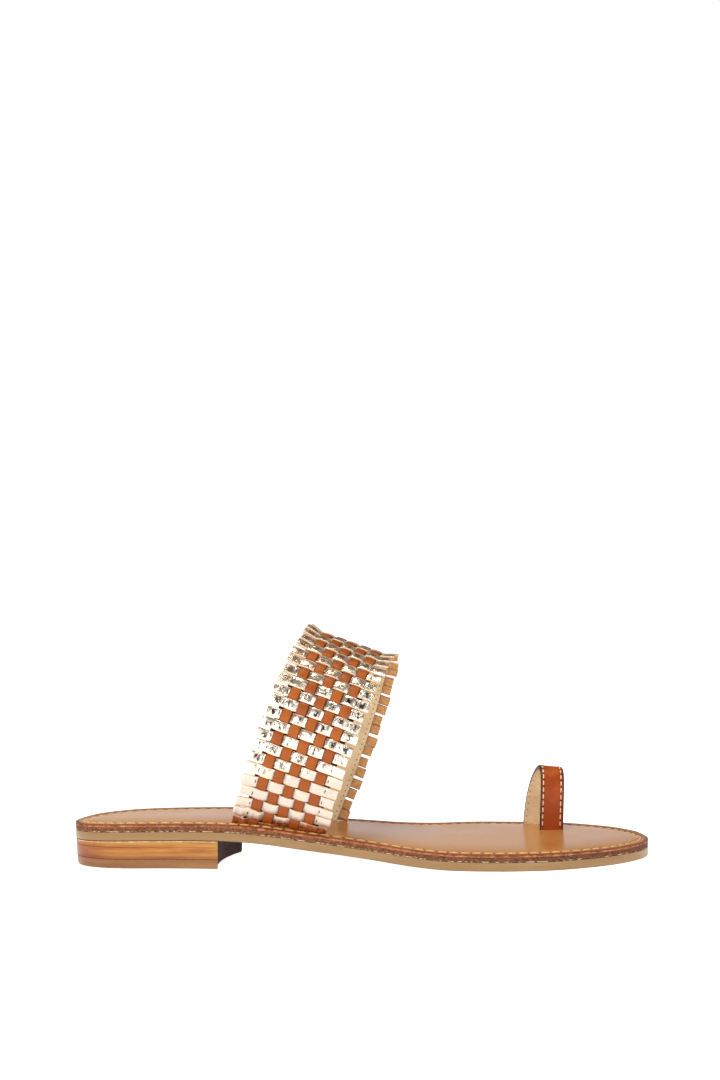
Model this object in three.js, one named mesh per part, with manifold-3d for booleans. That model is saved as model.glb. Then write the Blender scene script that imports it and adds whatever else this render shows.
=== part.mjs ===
// Right-foot leather slide sandal: flat sole on a low stacked heel, a woven instep strap and a toe loop.
// Millimetres. +X runs from heel to toe, +Y is the medial (big toe) side, +Z is up, the floor is z = 0.
// The design frame has x = 0 at the back of the heel. The last lines move the whole shoe so that its
// origin lies under the middle of its box.
import * as THREE from "three";
import { mergeVertices } from "three/addons/utils/BufferGeometryUtils.js";
import Module from "manifold-3d";

const wasm = await Module();
wasm.setup();

// Layers of the sole
const insoleThickness = 1.3;
const midsoleThickness = 2.3;
const outsoleThickness = 3.8;
const seamGap = 0.3;
const stackHeight = insoleThickness + midsoleThickness + outsoleThickness + 2 * seamGap;
const edgeRound = 0.4;
const midsoleInset = 0.15;
const outsoleInset = 0.1;

// Heel: two stacked lifts and the tread piece that meets the floor
const topPieceHeight = 4.1;
const lowerLiftTop = 9.2;
const heelInset = { top: 0.2, middle: 0.5, bottom: 0.8 };
const treadRound = 1.1;
const breast = { lateral: [64.1, -25.5], middle: [63.7, -3], medial: [70.4, 20] };

// Outline of the insole and the height of its upper face, one row for each cross section
const sections = [
  { along: 0, lateral: -3.2, medial: -3.2, top: 19.3 },
  { along: 3, lateral: -11.1, medial: 4.1, top: 19.4 },
  { along: 8, lateral: -15.9, medial: 9.8, top: 19.6 },
  { along: 15, lateral: -19.5, medial: 15.3, top: 19.8 },
  { along: 25, lateral: -21.6, medial: 19.9, top: 20.0 },
  { along: 40, lateral: -22.6, medial: 22.0, top: 20.1 },
  { along: 55, lateral: -24.5, medial: 22.1, top: 20.1 },
  { along: 70, lateral: -27.2, medial: 21.7, top: 19.9 },
  { along: 85, lateral: -28.8, medial: 21.4, top: 18.6 },
  { along: 100, lateral: -28.5, medial: 22.3, top: 16.2 },
  { along: 115, lateral: -28.7, medial: 25.3, top: 14.0 },
  { along: 130, lateral: -31.0, medial: 31.1, top: 11.9 },
  { along: 145, lateral: -34.2, medial: 38.2, top: 9.7 },
  { along: 160, lateral: -37.3, medial: 44.8, top: 8.3 },
  { along: 175, lateral: -39.8, medial: 48.4, top: 8.0 },
  { along: 190, lateral: -40.9, medial: 47.6, top: 8.0 },
  { along: 205, lateral: -39.4, medial: 44.7, top: 8.0 },
  { along: 220, lateral: -34.5, medial: 40.3, top: 8.05 },
  { along: 232, lateral: -28.3, medial: 32.1, top: 8.15 },
  { along: 241, lateral: -21.2, medial: 22.9, top: 8.25 },
  { along: 246.6, lateral: -14.6, medial: 13.2, top: 8.3 },
  { along: 249.8, lateral: -8.2, medial: 4.6, top: 8.35 },
  { along: 251, lateral: -2.2, medial: -2.2, top: 8.35 },
];
const soleLength = sections[sections.length - 1].along;

// Instep strap: 5 lengthwise warp strips, crosswise weft strips with free ends, and a lining sheet
const warpCount = 5;
const warpPitch = 5.74;
const warpWidth = 4.3;
const weftPitch = 5.06;
const weftWidth = 4.0;
const fringeReach = { rear: 20.5, front: 20.2 };
const liningHalfWidth = 16;
const strapWall = 2.8;
const liningThickness = 0.9;
const weaveDip = 0.9;
const fringeTop = -0.7;
const fringeBottom = -2.0;
const fringeSway = 0.35;
const fringeLift = 1.6;
// The strap rises through the insole here, slopes down towards the toes and is turned in plan
const strapFoot = { x: 90.2, y: -24.9, z: 17.4, slopeDegrees: 19.5, turnDegrees: -10 };
// Section of its outer face, square to the sloping direction, from the lateral to the medial foot.
// twist turns the strap in plan, so that each foot runs along the edge of the sole.
const strapSection = [
  { across: 1.2, up: 0, twist: 13 },
  { across: -5.2, up: 16.6, twist: 8 },
  { across: -6.6, up: 33.4, twist: 3 },
  { across: -4.1, up: 50.2, twist: 0 },
  { across: 2.7, up: 65.7, twist: 0 },
  { across: 15.2, up: 77.2, twist: 0 },
  { across: 30.9, up: 82.4, twist: 0 },
  { across: 46.6, up: 77.8, twist: 0 },
  { across: 55.6, up: 63.8, twist: 0 },
  { across: 58.6, up: 47.3, twist: 2 },
  { across: 57.1, up: 30.6, twist: 6 },
  { across: 51.8, up: 14.4, twist: 12 },
  { across: 44.0, up: -0.6, twist: 16 },
];

// Toe loop: a band stitched from two layers, from its lateral foot over the big toe to its medial foot
const loopWidth = 10.6;
const loopWall = 2.2;
const loopSlopeDegrees = 6;
const loopPath = [
  { along: 211.3, across: 20.0, up: 0 },
  { along: 211.6, across: 19.2, up: 9.5 },
  { along: 212.1, across: 19.8, up: 19.5 },
  { along: 212.4, across: 22.9, up: 25.8 },
  { along: 212.2, across: 28.6, up: 28.1 },
  { along: 211.2, across: 35.0, up: 25.8 },
  { along: 209.2, across: 40.2, up: 19.4 },
  { along: 207.3, across: 42.8, up: 10.2 },
  { along: 206.0, across: 43.0, up: 0 },
];

// Both bands end in pockets in the midsole
const pocketDepth = 1.2;
const slotClearance = 0.3;

const radians = THREE.MathUtils.degToRad;

// Turns a closed triangle mesh into a solid that can be joined and cut, with its faces outwards
function solidOf(geometry) {
  const plain = geometry.index ? geometry.toNonIndexed() : geometry.clone();
  for (const name of Object.keys(plain.attributes)) {
    if (name !== "position") plain.deleteAttribute(name);
  }
  const merged = mergeVertices(plain, 1e-4);
  const index = merged.index.array;
  const corner = (i) => new THREE.Vector3().fromBufferAttribute(merged.attributes.position, i);
  const faces = [];
  let volume = 0;
  for (let i = 0; i < index.length; i += 3) {
    const [a, b, c] = [index[i], index[i + 1], index[i + 2]];
    if (a === b || b === c || c === a) continue;
    faces.push(a, b, c);
    volume += corner(a).dot(corner(b).cross(corner(c)));
  }
  if (volume < 0) faces.reverse();
  const mesh = new wasm.Mesh({
    numProp: 3,
    vertProperties: new Float32Array(merged.attributes.position.array),
    triVerts: new Uint32Array(faces),
  });
  return new wasm.Manifold(mesh);
}

// Gives the triangles of a solid back as a geometry
function geometryOf(solid) {
  const mesh = solid.getMesh();
  const geometry = new THREE.BufferGeometry();
  geometry.setAttribute("position", new THREE.BufferAttribute(new Float32Array(mesh.vertProperties), 3));
  geometry.setIndex(new THREE.BufferAttribute(new Uint32Array(mesh.triVerts), 1));
  geometry.computeVertexNormals();
  return geometry;
}

// Collects triangles and four-sided faces
class Faces {
  constructor() {
    this.corners = [];
  }
  triangle(a, b, c) {
    this.corners.push(a, b, c);
  }
  quad(a, b, c, d) {
    this.triangle(a, b, c);
    this.triangle(a, c, d);
  }
  // Fills a ring of points. Its faces turn with the ring, or against it when reverse is true.
  polygon(points, flatPoints, reverse) {
    const turn = THREE.ShapeUtils.area(flatPoints);
    for (const [a, b, c] of THREE.ShapeUtils.triangulateShape(flatPoints, [])) {
      const withRing = THREE.ShapeUtils.area([flatPoints[a], flatPoints[b], flatPoints[c]]) * turn > 0;
      if (withRing === reverse) this.triangle(points[c], points[b], points[a]);
      else this.triangle(points[a], points[b], points[c]);
    }
  }
  solid() {
    return solidOf(new THREE.BufferGeometry().setFromPoints(this.corners));
  }
}

// Skins rings with the same number of points along a body. flat is the section used for both end caps.
function skin(rings, flat) {
  const faces = new Faces();
  const count = rings[0].length;
  for (let i = 0; i + 1 < rings.length; i++) {
    for (let k = 0; k < count; k++) {
      const next = (k + 1) % count;
      faces.quad(rings[i][k], rings[i][next], rings[i + 1][next], rings[i + 1][k]);
    }
  }
  const last = rings.length - 1;
  faces.polygon(rings[0], flat, true);
  faces.polygon(rings[last], flat, false);
  return faces.solid();
}

// Outline of the insole as a closed smooth curve
const lateralSide = sections.map((row) => new THREE.Vector3(row.along, row.lateral, 0));
const medialSide = sections.slice(1, -1).map((row) => new THREE.Vector3(row.along, row.medial, 0)).reverse();
const outlineCurve = new THREE.CatmullRomCurve3([...lateralSide, ...medialSide], true, "centripetal");
const outlineSteps = 480;
const outline = outlineCurve.getPoints(outlineSteps).slice(0, outlineSteps);

// The same outline moved inwards by a distance
function insetOutline(inset) {
  return outline.map((point, i) => {
    const before = outline[(i + outlineSteps - 1) % outlineSteps];
    const after = outline[(i + 1) % outlineSteps];
    const along = new THREE.Vector3().subVectors(after, before).normalize();
    return new THREE.Vector3(point.x - along.y * inset, point.y + along.x * inset, 0);
  });
}

// Lateral and medial limits of an outline at one station
function spanAt(points, x) {
  const crossings = [];
  points.forEach((a, i) => {
    const b = points[(i + 1) % points.length];
    if ((a.x - x) * (b.x - x) <= 0 && a.x !== b.x) {
      crossings.push(a.y + ((b.y - a.y) * (x - a.x)) / (b.x - a.x));
    }
  });
  return [Math.min(...crossings), Math.max(...crossings)];
}

// Height of the insole's upper face, never lower than the layers stacked on the floor
const topCurve = new THREE.CatmullRomCurve3(
  sections.map((row) => new THREE.Vector3(row.along, 0, row.top)), false, "centripetal");
const topSamples = topCurve.getPoints(400);

function insoleTop(x) {
  const at = topSamples.findIndex((point) => point.x >= x);
  if (at < 0) return topSamples[topSamples.length - 1].z;
  if (at === 0) return topSamples[0].z;
  const [a, b] = [topSamples[at - 1], topSamples[at]];
  const height = a.z + ((b.z - a.z) * (x - a.x)) / (b.x - a.x);
  return Math.max(height, stackHeight);
}

const midsoleTop = (x) => insoleTop(x) - insoleThickness - seamGap;
const outsoleTop = (x) => midsoleTop(x) - midsoleThickness - seamGap;
const outsoleBottom = (x) => outsoleTop(x) - outsoleThickness;

// One layer of the sole. Each level has an inset from the outline and a height, from the bottom up.
function layer(levels, endX = soleLength, stations = 54) {
  const outlines = levels.map((level) => insetOutline(level.inset));
  const limits = outlines.map((points) => {
    const xs = points.map((point) => point.x);
    return [Math.min(...xs), Math.min(Math.max(...xs), endX)];
  });
  const rings = [];
  for (let i = 0; i <= stations; i++) {
    const whole = endX >= soleLength;
    const part = whole ? (1 - Math.cos((Math.PI * i) / stations)) / 2 : 1 - Math.cos((Math.PI * i) / stations / 2);
    const sides = levels.map((level, k) => {
      const [from, to] = limits[k];
      const x = from + (to - from) * part;
      const inside = THREE.MathUtils.clamp(x, from + 1e-3, to - 1e-3);
      const [lateral, medial] = spanAt(outlines[k], inside);
      const z = level.height(x);
      const tip = i === 0 || (whole && i === stations);
      const middle = (lateral + medial) / 2;
      return [new THREE.Vector3(x, tip ? middle : lateral, z), new THREE.Vector3(x, tip ? middle : medial, z)];
    });
    rings.push([...sides.map((side) => side[1]), ...sides.map((side) => side[0]).reverse()]);
  }
  const widths = levels.map((level, k) => k);
  const flat = [...widths.map((k) => new THREE.Vector2(1, k)), ...widths.map((k) => new THREE.Vector2(-1, k)).reverse()];
  return skin(rings, flat);
}

// Circle through three points of the plan, sampled from the first to the last
function arcThrough(first, middle, last, steps) {
  const [[ax, ay], [bx, by], [cx, cy]] = [first, middle, last];
  const d = 2 * (ax * (by - cy) + bx * (cy - ay) + cx * (ay - by));
  const [aa, bb, cc] = [ax * ax + ay * ay, bx * bx + by * by, cx * cx + cy * cy];
  const x = (aa * (by - cy) + bb * (cy - ay) + cc * (ay - by)) / d;
  const y = (aa * (cx - bx) + bb * (ax - cx) + cc * (bx - ax)) / d;
  const radius = Math.hypot(ax - x, ay - y);
  const start = Math.atan2(ay - y, ax - x);
  let sweep = Math.atan2(cy - y, cx - x) - start;
  if (sweep > Math.PI) sweep -= 2 * Math.PI;
  if (sweep < -Math.PI) sweep += 2 * Math.PI;
  const points = [];
  for (let i = 0; i <= steps; i++) {
    const angle = start + (sweep * i) / steps;
    points.push(new THREE.Vector2(x + radius * Math.cos(angle), y + radius * Math.sin(angle)));
  }
  return points;
}

// Everything in front of the heel's hollow front face
function breastCutter() {
  const front = 140;
  const reach = 70;
  const arc = arcThrough(breast.lateral, breast.middle, breast.medial, 14);
  const first = arc[0];
  const last = arc[arc.length - 1];
  const shape = new THREE.Shape([
    new THREE.Vector2(front, -reach), new THREE.Vector2(front, reach),
    new THREE.Vector2(last.x + 1, reach), ...arc.reverse(), new THREE.Vector2(first.x, -reach),
  ]);
  const block = new THREE.ExtrudeGeometry(shape, { depth: 40, bevelEnabled: false });
  block.translate(0, 0, -10);
  return solidOf(block);
}

// A smooth path in space that a band follows. widthDirection points across the band, and twists turn
// it in plan, in degrees, at each point of the path.
class BandPath {
  constructor(points, widthDirection, twists) {
    this.curve = new THREE.CatmullRomCurve3(points, false, "centripetal");
    this.curve.arcLengthDivisions = 800;
    this.length = this.curve.getLength();
    this.widthDirection = widthDirection;
    this.twist = new THREE.SplineCurve(twists.map((degrees, i) => new THREE.Vector2(i, degrees)));
  }
  // Point at a distance along the band, an offset across its width and a height off its outer face
  at(distance, across, off) {
    const inside = THREE.MathUtils.clamp(distance, 0, this.length) / this.length;
    const run = this.curve.getTangentAt(inside);
    const twist = radians(this.twist.getPoint(this.curve.getUtoTmapping(inside)).y);
    const width = this.widthDirection.clone().applyAxisAngle(new THREE.Vector3(0, 0, 1), twist);
    width.addScaledVector(run, -run.dot(width)).normalize();
    const outward = new THREE.Vector3().crossVectors(width, run);
    return this.curve.getPointAt(inside)
      .addScaledVector(run, distance - inside * this.length)
      .addScaledVector(width, across)
      .addScaledVector(outward, off);
  }
}

// Plain band with a section drawn as points of across and off, from one distance to another
function band(path, section, from, to, steps) {
  const rings = [];
  for (let i = 0; i <= steps; i++) {
    const distance = from + ((to - from) * i) / steps;
    rings.push(section.map(([across, off]) => path.at(distance, across, off)));
  }
  return skin(rings, section.map(([across, off]) => new THREE.Vector2(across, off)));
}

// Section of a flat strip with its four long edges broken
function stripSection(halfWidth, top, bottom, broken) {
  return [
    [-halfWidth + broken, bottom], [halfWidth - broken, bottom], [halfWidth, bottom + broken],
    [halfWidth, top - broken], [halfWidth - broken, top], [-halfWidth + broken, top],
    [-halfWidth, top - broken], [-halfWidth, bottom + broken],
  ];
}

// Block under the sole's curve, used to end both bands at the bottom of their pockets
function ground(depth) {
  const rings = [];
  for (let x = 40; x <= 240; x += 5) {
    const z = insoleTop(x) - depth;
    rings.push([[60, -30], [60, z], [-60, z], [-60, -30]].map(([y, height]) => new THREE.Vector3(x, y, height)));
  }
  return skin(rings, [[1, 0], [1, 1], [-1, 1], [-1, 0]].map(([y, z]) => new THREE.Vector2(y, z)));
}

const strapAngles = { slope: radians(strapFoot.slopeDegrees), turn: radians(strapFoot.turnDegrees) };
const strapForward = new THREE.Vector3(
  Math.cos(strapAngles.slope) * Math.cos(strapAngles.turn),
  Math.cos(strapAngles.slope) * Math.sin(strapAngles.turn),
  -Math.sin(strapAngles.slope));
const strapAcross = new THREE.Vector3(-Math.sin(strapAngles.turn), Math.cos(strapAngles.turn), 0);
const strapUp = new THREE.Vector3().crossVectors(strapForward, strapAcross);
const strapPath = new BandPath(strapSection.map((row) => new THREE.Vector3(strapFoot.x, strapFoot.y, strapFoot.z)
  .addScaledVector(strapAcross, row.across)
  .addScaledVector(strapUp, row.up)), strapForward, strapSection.map((row) => row.twist));

const loopAngle = radians(loopSlopeDegrees);
const loopBandPath = new BandPath(
  loopPath.map((row) => new THREE.Vector3(row.along, row.across, insoleTop(row.along) + row.up)),
  new THREE.Vector3(Math.cos(loopAngle), 0, -Math.sin(loopAngle)), loopPath.map(() => 0));

// The woven strap: a lining ledge under a wall whose outer face is a chequer of raised cells
function wovenStrap() {
  const path = strapPath;
  const extraRows = 2;
  const rows = Math.round(path.length / weftPitch) + 2 * extraRows;
  const rowStart = (row) => (row - extraRows) * (path.length / (rows - 2 * extraRows));
  const pitch = rowStart(1) - rowStart(0);
  const bodyHalfWidth = (warpPitch * (warpCount - 1) + warpWidth) / 2;
  const columnEdge = (column) => {
    if (column === 0) return -bodyHalfWidth;
    if (column === warpCount) return bodyHalfWidth;
    return (column - warpCount / 2) * warpPitch;
  };
  const ledge = liningThickness - strapWall;
  const edges = Array.from({ length: warpCount + 1 }, (_, column) => columnEdge(column));
  const under = [
    [bodyHalfWidth, ledge], [liningHalfWidth, ledge], [liningHalfWidth, -strapWall],
    [-liningHalfWidth, -strapWall], [-liningHalfWidth, ledge], [-bodyHalfWidth, ledge],
  ];
  const ring = [...under, ...edges.map((across) => [across, -weaveDip])];
  const points = Array.from({ length: rows + 1 }, (_, row) => ring.map(
    ([across, off]) => path.at(rowStart(row), across, off)));

  const faces = new Faces();
  for (let row = 0; row < rows; row++) {
    const [near, far] = [points[row], points[row + 1]];
    for (let k = 0; k < under.length; k++) faces.quad(near[k + 1], near[k], far[k], far[k + 1]);
    faces.quad(near[0], near[ring.length - 1], far[ring.length - 1], far[0]);
    for (let column = 0; column < warpCount; column++) {
      const weftOver = (row + column) % 2 === 0;
      const halfAcross = (weftOver ? warpPitch + 0.1 : warpWidth - 0.3) / 2;
      const halfAlong = (weftOver ? weftWidth - 0.3 : pitch - 0.3) / 2;
      const middleAcross = (edges[column] + edges[column + 1]) / 2;
      const middleAlong = rowStart(row) + pitch / 2;
      const reach = Math.min(halfAcross, (edges[column + 1] - edges[column]) / 2 - 0.1);
      const crown = [[-1, -1], [1, -1], [1, 1], [-1, 1]].map(([u, v]) => path.at(
        middleAlong + v * halfAlong, middleAcross + u * reach, 0));
      const first = under.length + column;
      const corner = [near[first], near[first + 1], far[first + 1], far[first]];
      for (let k = 0; k < 4; k++) {
        const next = (k + 1) % 4;
        faces.quad(corner[next], corner[k], crown[k], crown[next]);
      }
      faces.quad(crown[3], crown[2], crown[1], crown[0]);
    }
  }
  const flat = ring.map(([across, off]) => new THREE.Vector2(across, off));
  faces.polygon(points[0], flat, false);
  faces.polygon(points[rows], flat, true);
  return { body: faces.solid(), rows, rowStart, pitch, bodyHalfWidth };
}

// Free ends of the weft strips, in front of and behind the strap. They sway a little, so that some
// neighbours touch and others leave a gap, and they curl up over the crown. None dips into the insole.
function fringe(rows, rowStart, pitch, bodyHalfWidth) {
  const ends = [];
  for (let row = 0; row < rows; row++) {
    for (const side of [-1, 1]) {
      const sway = fringeSway * Math.sin(row * 2.3 + side);
      const reach = (side < 0 ? fringeReach.rear : fringeReach.front) + 0.5 * Math.sin(row * 1.7 + 2 * side);
      const lift = fringeLift * Math.exp(-(((row - rows / 2) / 4.5) ** 2));
      const middle = rowStart(row) + pitch / 2;
      const half = weftWidth / 2 - 0.1;
      const rings = [[bodyHalfWidth - 1, 0, 0], [reach, sway, lift]].map(([across, shift, rise]) => [
        [-half, fringeBottom], [half, fringeBottom], [half, fringeTop], [-half, fringeTop],
      ].map(([along, off]) => strapPath.at(middle + along + shift, side * across, off + rise)));
      const lowest = Math.min(...rings.flat().map((point) => point.z - insoleTop(point.x)));
      if (lowest < seamGap) continue;
      ends.push(skin(rings, [[-1, -1], [1, -1], [1, 1], [-1, 1]].map(([u, v]) => new THREE.Vector2(u, v))));
    }
  }
  return ends;
}

// Slots and pockets for a band's two feet, a little larger than the band
function slotCutter(path, halfWidth, wall) {
  const reach = 14;
  const section = stripSection(halfWidth + slotClearance, slotClearance, -wall - slotClearance, 0.1);
  const feet = band(path, section, -reach, 6, 8)
    .add(band(path, section, path.length - 6, path.length + reach, 8));
  return feet.subtract(ground(insoleThickness + seamGap + pocketDepth + slotClearance));
}

const bandGround = ground(insoleThickness + seamGap + pocketDepth);
const weave = wovenStrap();
let strapSolid = weave.body;
for (const end of fringe(weave.rows, weave.rowStart, weave.pitch, weave.bodyHalfWidth)) {
  strapSolid = strapSolid.add(end);
}
strapSolid = strapSolid.subtract(bandGround);

const loopSection = stripSection(loopWidth / 2, 0, -loopWall, 0.35);
const loopSolid = band(loopBandPath, loopSection, -8, loopBandPath.length + 8, 34).subtract(bandGround);

const slots = slotCutter(strapPath, liningHalfWidth, strapWall)
  .add(slotCutter(loopBandPath, loopWidth / 2, loopWall));

const insoleSolid = layer([
  { inset: 0, height: (x) => insoleTop(x) - insoleThickness },
  { inset: 0, height: (x) => insoleTop(x) - edgeRound },
  { inset: edgeRound, height: insoleTop },
]).subtract(slots);

const midsoleSolid = layer([
  { inset: midsoleInset, height: (x) => midsoleTop(x) - midsoleThickness },
  { inset: midsoleInset, height: midsoleTop },
]).subtract(slots);

const outsoleSolid = layer([
  { inset: outsoleInset + edgeRound, height: outsoleBottom },
  { inset: outsoleInset, height: (x) => outsoleBottom(x) + edgeRound },
  { inset: outsoleInset, height: outsoleTop },
]);

const heelEnd = 80;
const heelStations = 26;
const frontCutter = breastCutter();
const heelPiece = (levels) => layer(levels, heelEnd, heelStations).subtract(frontCutter);

const upperLiftSolid = heelPiece([
  { inset: heelInset.top + 0.1, height: () => lowerLiftTop + seamGap },
  { inset: heelInset.top, height: (x) => outsoleBottom(x) - seamGap },
]);

const lowerLiftSolid = heelPiece([
  { inset: heelInset.middle, height: () => topPieceHeight + seamGap },
  { inset: heelInset.top + 0.1, height: () => lowerLiftTop },
]);

const topPieceSolid = heelPiece([
  { inset: heelInset.bottom + treadRound, height: () => 0 },
  { inset: heelInset.bottom + 0.3 * treadRound, height: () => 0.3 * treadRound },
  { inset: heelInset.bottom, height: () => treadRound },
  { inset: heelInset.middle, height: () => topPieceHeight },
]);

const finish = (color, roughness) => new THREE.MeshStandardMaterial({ color, roughness, metalness: 0 });
const pieces = [
  ["outsole", outsoleSolid, finish(0xb48c68, 0.5)],
  ["midsole", midsoleSolid, finish(0x784f39, 0.75)],
  ["insole", insoleSolid, finish(0xc9976b, 0.55)],
  ["heel_lift_upper", upperLiftSolid, finish(0xcb9055, 0.4)],
  ["heel_lift_lower", lowerLiftSolid, finish(0xc88a50, 0.4)],
  ["heel_top_piece", topPieceSolid, finish(0xa87850, 0.5)],
  ["vamp_strap", strapSolid, finish(0xc0602c, 0.45)],
  ["toe_loop", loopSolid, finish(0x9c5a37, 0.45)],
];

const sandal = new THREE.Group();
const widest = [Math.min(...outline.map((point) => point.y)), Math.max(...outline.map((point) => point.y))];
const longest = [Math.min(...outline.map((point) => point.x)), Math.max(...outline.map((point) => point.x))];
const middle = new THREE.Vector3((longest[0] + longest[1]) / 2, (widest[0] + widest[1]) / 2, 0);
for (const [name, solid, material] of pieces) {
  const mesh = new THREE.Mesh(geometryOf(solid), material);
  mesh.name = name;
  mesh.position.copy(middle).negate();
  sandal.add(mesh);
}

export default sandal;
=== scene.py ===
# %% [markdown]
# # A woven leather sandal
# This lesson dresses a CAD model of one right-foot slide sandal: a layered sole on a low heel, an instep
# strap woven from cognac leather and gold foil, and a small toe ring. The CAD solids carry the true sizes,
# and each piece here is a finer version of one solid, in the same frame. Lengths are written in millimetres
# because a shoemaker thinks in them, and become metres only when a mesh is finished.

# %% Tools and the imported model
import math
import random

import bmesh
import bpy
import numpy as np
from mathutils import Matrix, Vector


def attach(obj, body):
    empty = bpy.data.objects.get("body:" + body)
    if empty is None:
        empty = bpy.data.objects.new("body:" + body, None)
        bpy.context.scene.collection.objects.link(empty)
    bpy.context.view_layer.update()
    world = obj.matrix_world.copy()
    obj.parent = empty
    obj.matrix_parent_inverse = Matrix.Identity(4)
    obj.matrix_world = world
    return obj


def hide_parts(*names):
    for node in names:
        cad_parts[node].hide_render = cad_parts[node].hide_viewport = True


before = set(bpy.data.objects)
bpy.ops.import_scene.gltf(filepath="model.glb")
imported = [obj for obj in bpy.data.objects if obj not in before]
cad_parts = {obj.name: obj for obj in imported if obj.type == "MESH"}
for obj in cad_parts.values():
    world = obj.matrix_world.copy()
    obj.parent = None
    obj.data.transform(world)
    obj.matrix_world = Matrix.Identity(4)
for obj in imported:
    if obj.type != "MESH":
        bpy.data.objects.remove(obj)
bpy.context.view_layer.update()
MM = 0.001
print("CAD nodes:", sorted(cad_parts))

# %% [markdown]
# ## Camera
# The camera comes first, so that every choice can be judged in the real picture. It stands level, 700 mm
# from the shoe's middle line, on the outer side of the foot. A level camera that shows the shoe below the
# middle of the picture needs a lens shift, not a tilt, which keeps upright edges upright.

# %% Camera
CAMERA_AT = (2.5, -703.8, 117.15)
LENS_MM = 52.93
ROLL_DEGREES = 0.789

camera_data = bpy.data.cameras.new("camera")
camera_data.lens = LENS_MM
camera_data.sensor_width = 36
camera_data.shift_x = -0.0041
camera_data.shift_y = 0.0480
camera_data.clip_end = 50
camera = bpy.data.objects.new("camera", camera_data)
camera.matrix_world = (
    Matrix.Translation(Vector(CAMERA_AT) * MM)
    @ Matrix.Rotation(math.radians(90), 4, "X")
    @ Matrix.Rotation(math.radians(-ROLL_DEGREES), 4, "Z")
)
bpy.context.scene.collection.objects.link(camera)
bpy.context.scene.camera = camera
print("camera at", CAMERA_AT, "mm with a", LENS_MM, "mm lens")

# %% [markdown]
# ## Named sizes
# These are the CAD part's own driving sizes, so that each dressed piece lies exactly on its solid. x runs
# from the back of the heel to the toe tip, y towards the big toe's side. A table has one row for each cross
# section: where it is, how far the insole reaches to each side, and how high its upper face lies.

# %% Sizes of the sole, the strap and the toe loop
INSOLE_THICK = 1.3
MIDSOLE_THICK = 2.3
OUTSOLE_THICK = 3.8
LAYER_GAP = 0.3
STACK = INSOLE_THICK + MIDSOLE_THICK + OUTSOLE_THICK + 2 * LAYER_GAP
TOP_PIECE_HIGH = 4.1
LOWER_LIFT_TOP = 9.2
BREAST = ((64.1, -25.5), (63.7, -3), (70.4, 20))
HEEL_HALF = 30
STITCH_INSET = 3.4
STITCH_PITCH = 4.8

# along, lateral, medial, top
SECTIONS = (
    (0, -3.2, -3.2, 19.3),
    (3, -11.1, 4.1, 19.4),
    (8, -15.9, 9.8, 19.6),
    (15, -19.5, 15.3, 19.8),
    (25, -21.6, 19.9, 20.0),
    (40, -22.6, 22.0, 20.1),
    (55, -24.5, 22.1, 20.1),
    (70, -27.2, 21.7, 19.9),
    (85, -28.8, 21.4, 18.6),
    (100, -28.5, 22.3, 16.2),
    (115, -28.7, 25.3, 14.0),
    (130, -31.0, 31.1, 11.9),
    (145, -34.2, 38.2, 9.7),
    (160, -37.3, 44.8, 8.3),
    (175, -39.8, 48.4, 8.0),
    (190, -40.9, 47.6, 8.0),
    (205, -39.4, 44.7, 8.0),
    (220, -34.5, 40.3, 8.05),
    (232, -28.3, 32.1, 8.15),
    (241, -21.2, 22.9, 8.25),
    (246.6, -14.6, 13.2, 8.3),
    (249.8, -8.2, 4.6, 8.35),
    (251, -2.2, -2.2, 8.35),
)

WARP_COUNT = 5
WARP_PITCH = 5.74
WARP_WIDE = 4.3
WEFT_PITCH = 5.06
WEFT_WIDE = 4.45
STRIP_THICK = 0.85
WEAVE_SWING = 0.5
WEAVE_MIDDLE = -0.95
LINING_THICK = 0.9
LINING_HALF = 16
STRAP_WALL = 2.8
STRAP_TAIL = 8
FRINGE_REAR = 20.5
FRINGE_FRONT = 20.2
FRINGE_SHORT = 14.2
FRINGE_LIFT = 1.6
STRAP_FOOT = (90.2, -24.9, 17.4)
STRAP_SLOPE = math.radians(19.5)
STRAP_TURN = math.radians(-10)

# across, up, twist in degrees
STRAP_SECTION = (
    (1.2, 0, 13),
    (-5.2, 16.6, 8),
    (-6.6, 33.4, 3),
    (-4.1, 50.2, 0),
    (2.7, 65.7, 0),
    (15.2, 77.2, 0),
    (30.9, 82.4, 0),
    (46.6, 77.8, 0),
    (55.6, 63.8, 0),
    (58.6, 47.3, 2),
    (57.1, 30.6, 6),
    (51.8, 14.4, 12),
    (44.0, -0.6, 16),
)

LOOP_WIDE = 10.6
LOOP_OUTER_THICK = 1.2
LOOP_LINING_THICK = 0.9
LOOP_STITCH_PITCH = 3.05
LOOP_TAIL = 6
LOOP_SLOPE = math.radians(6)

# along, across, up from the insole
LOOP_PATH = (
    (211.3, 20.0, 0),
    (211.6, 19.2, 9.5),
    (212.1, 19.8, 19.5),
    (212.4, 22.9, 25.8),
    (212.2, 28.6, 28.1),
    (211.2, 35.0, 25.8),
    (209.2, 40.2, 19.4),
    (207.3, 42.8, 10.2),
    (206.0, 43.0, 0),
)

# %% [markdown]
# ## Curves through the tables
# A shoemaker draws an outline through measured points with a bendy spline. A centripetal Catmull-Rom curve
# does the same: it passes through every point and doesn't overshoot where points lie close together. The same
# curve serves the outline, the height of the insole and the paths of the strap and the toe loop.

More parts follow.
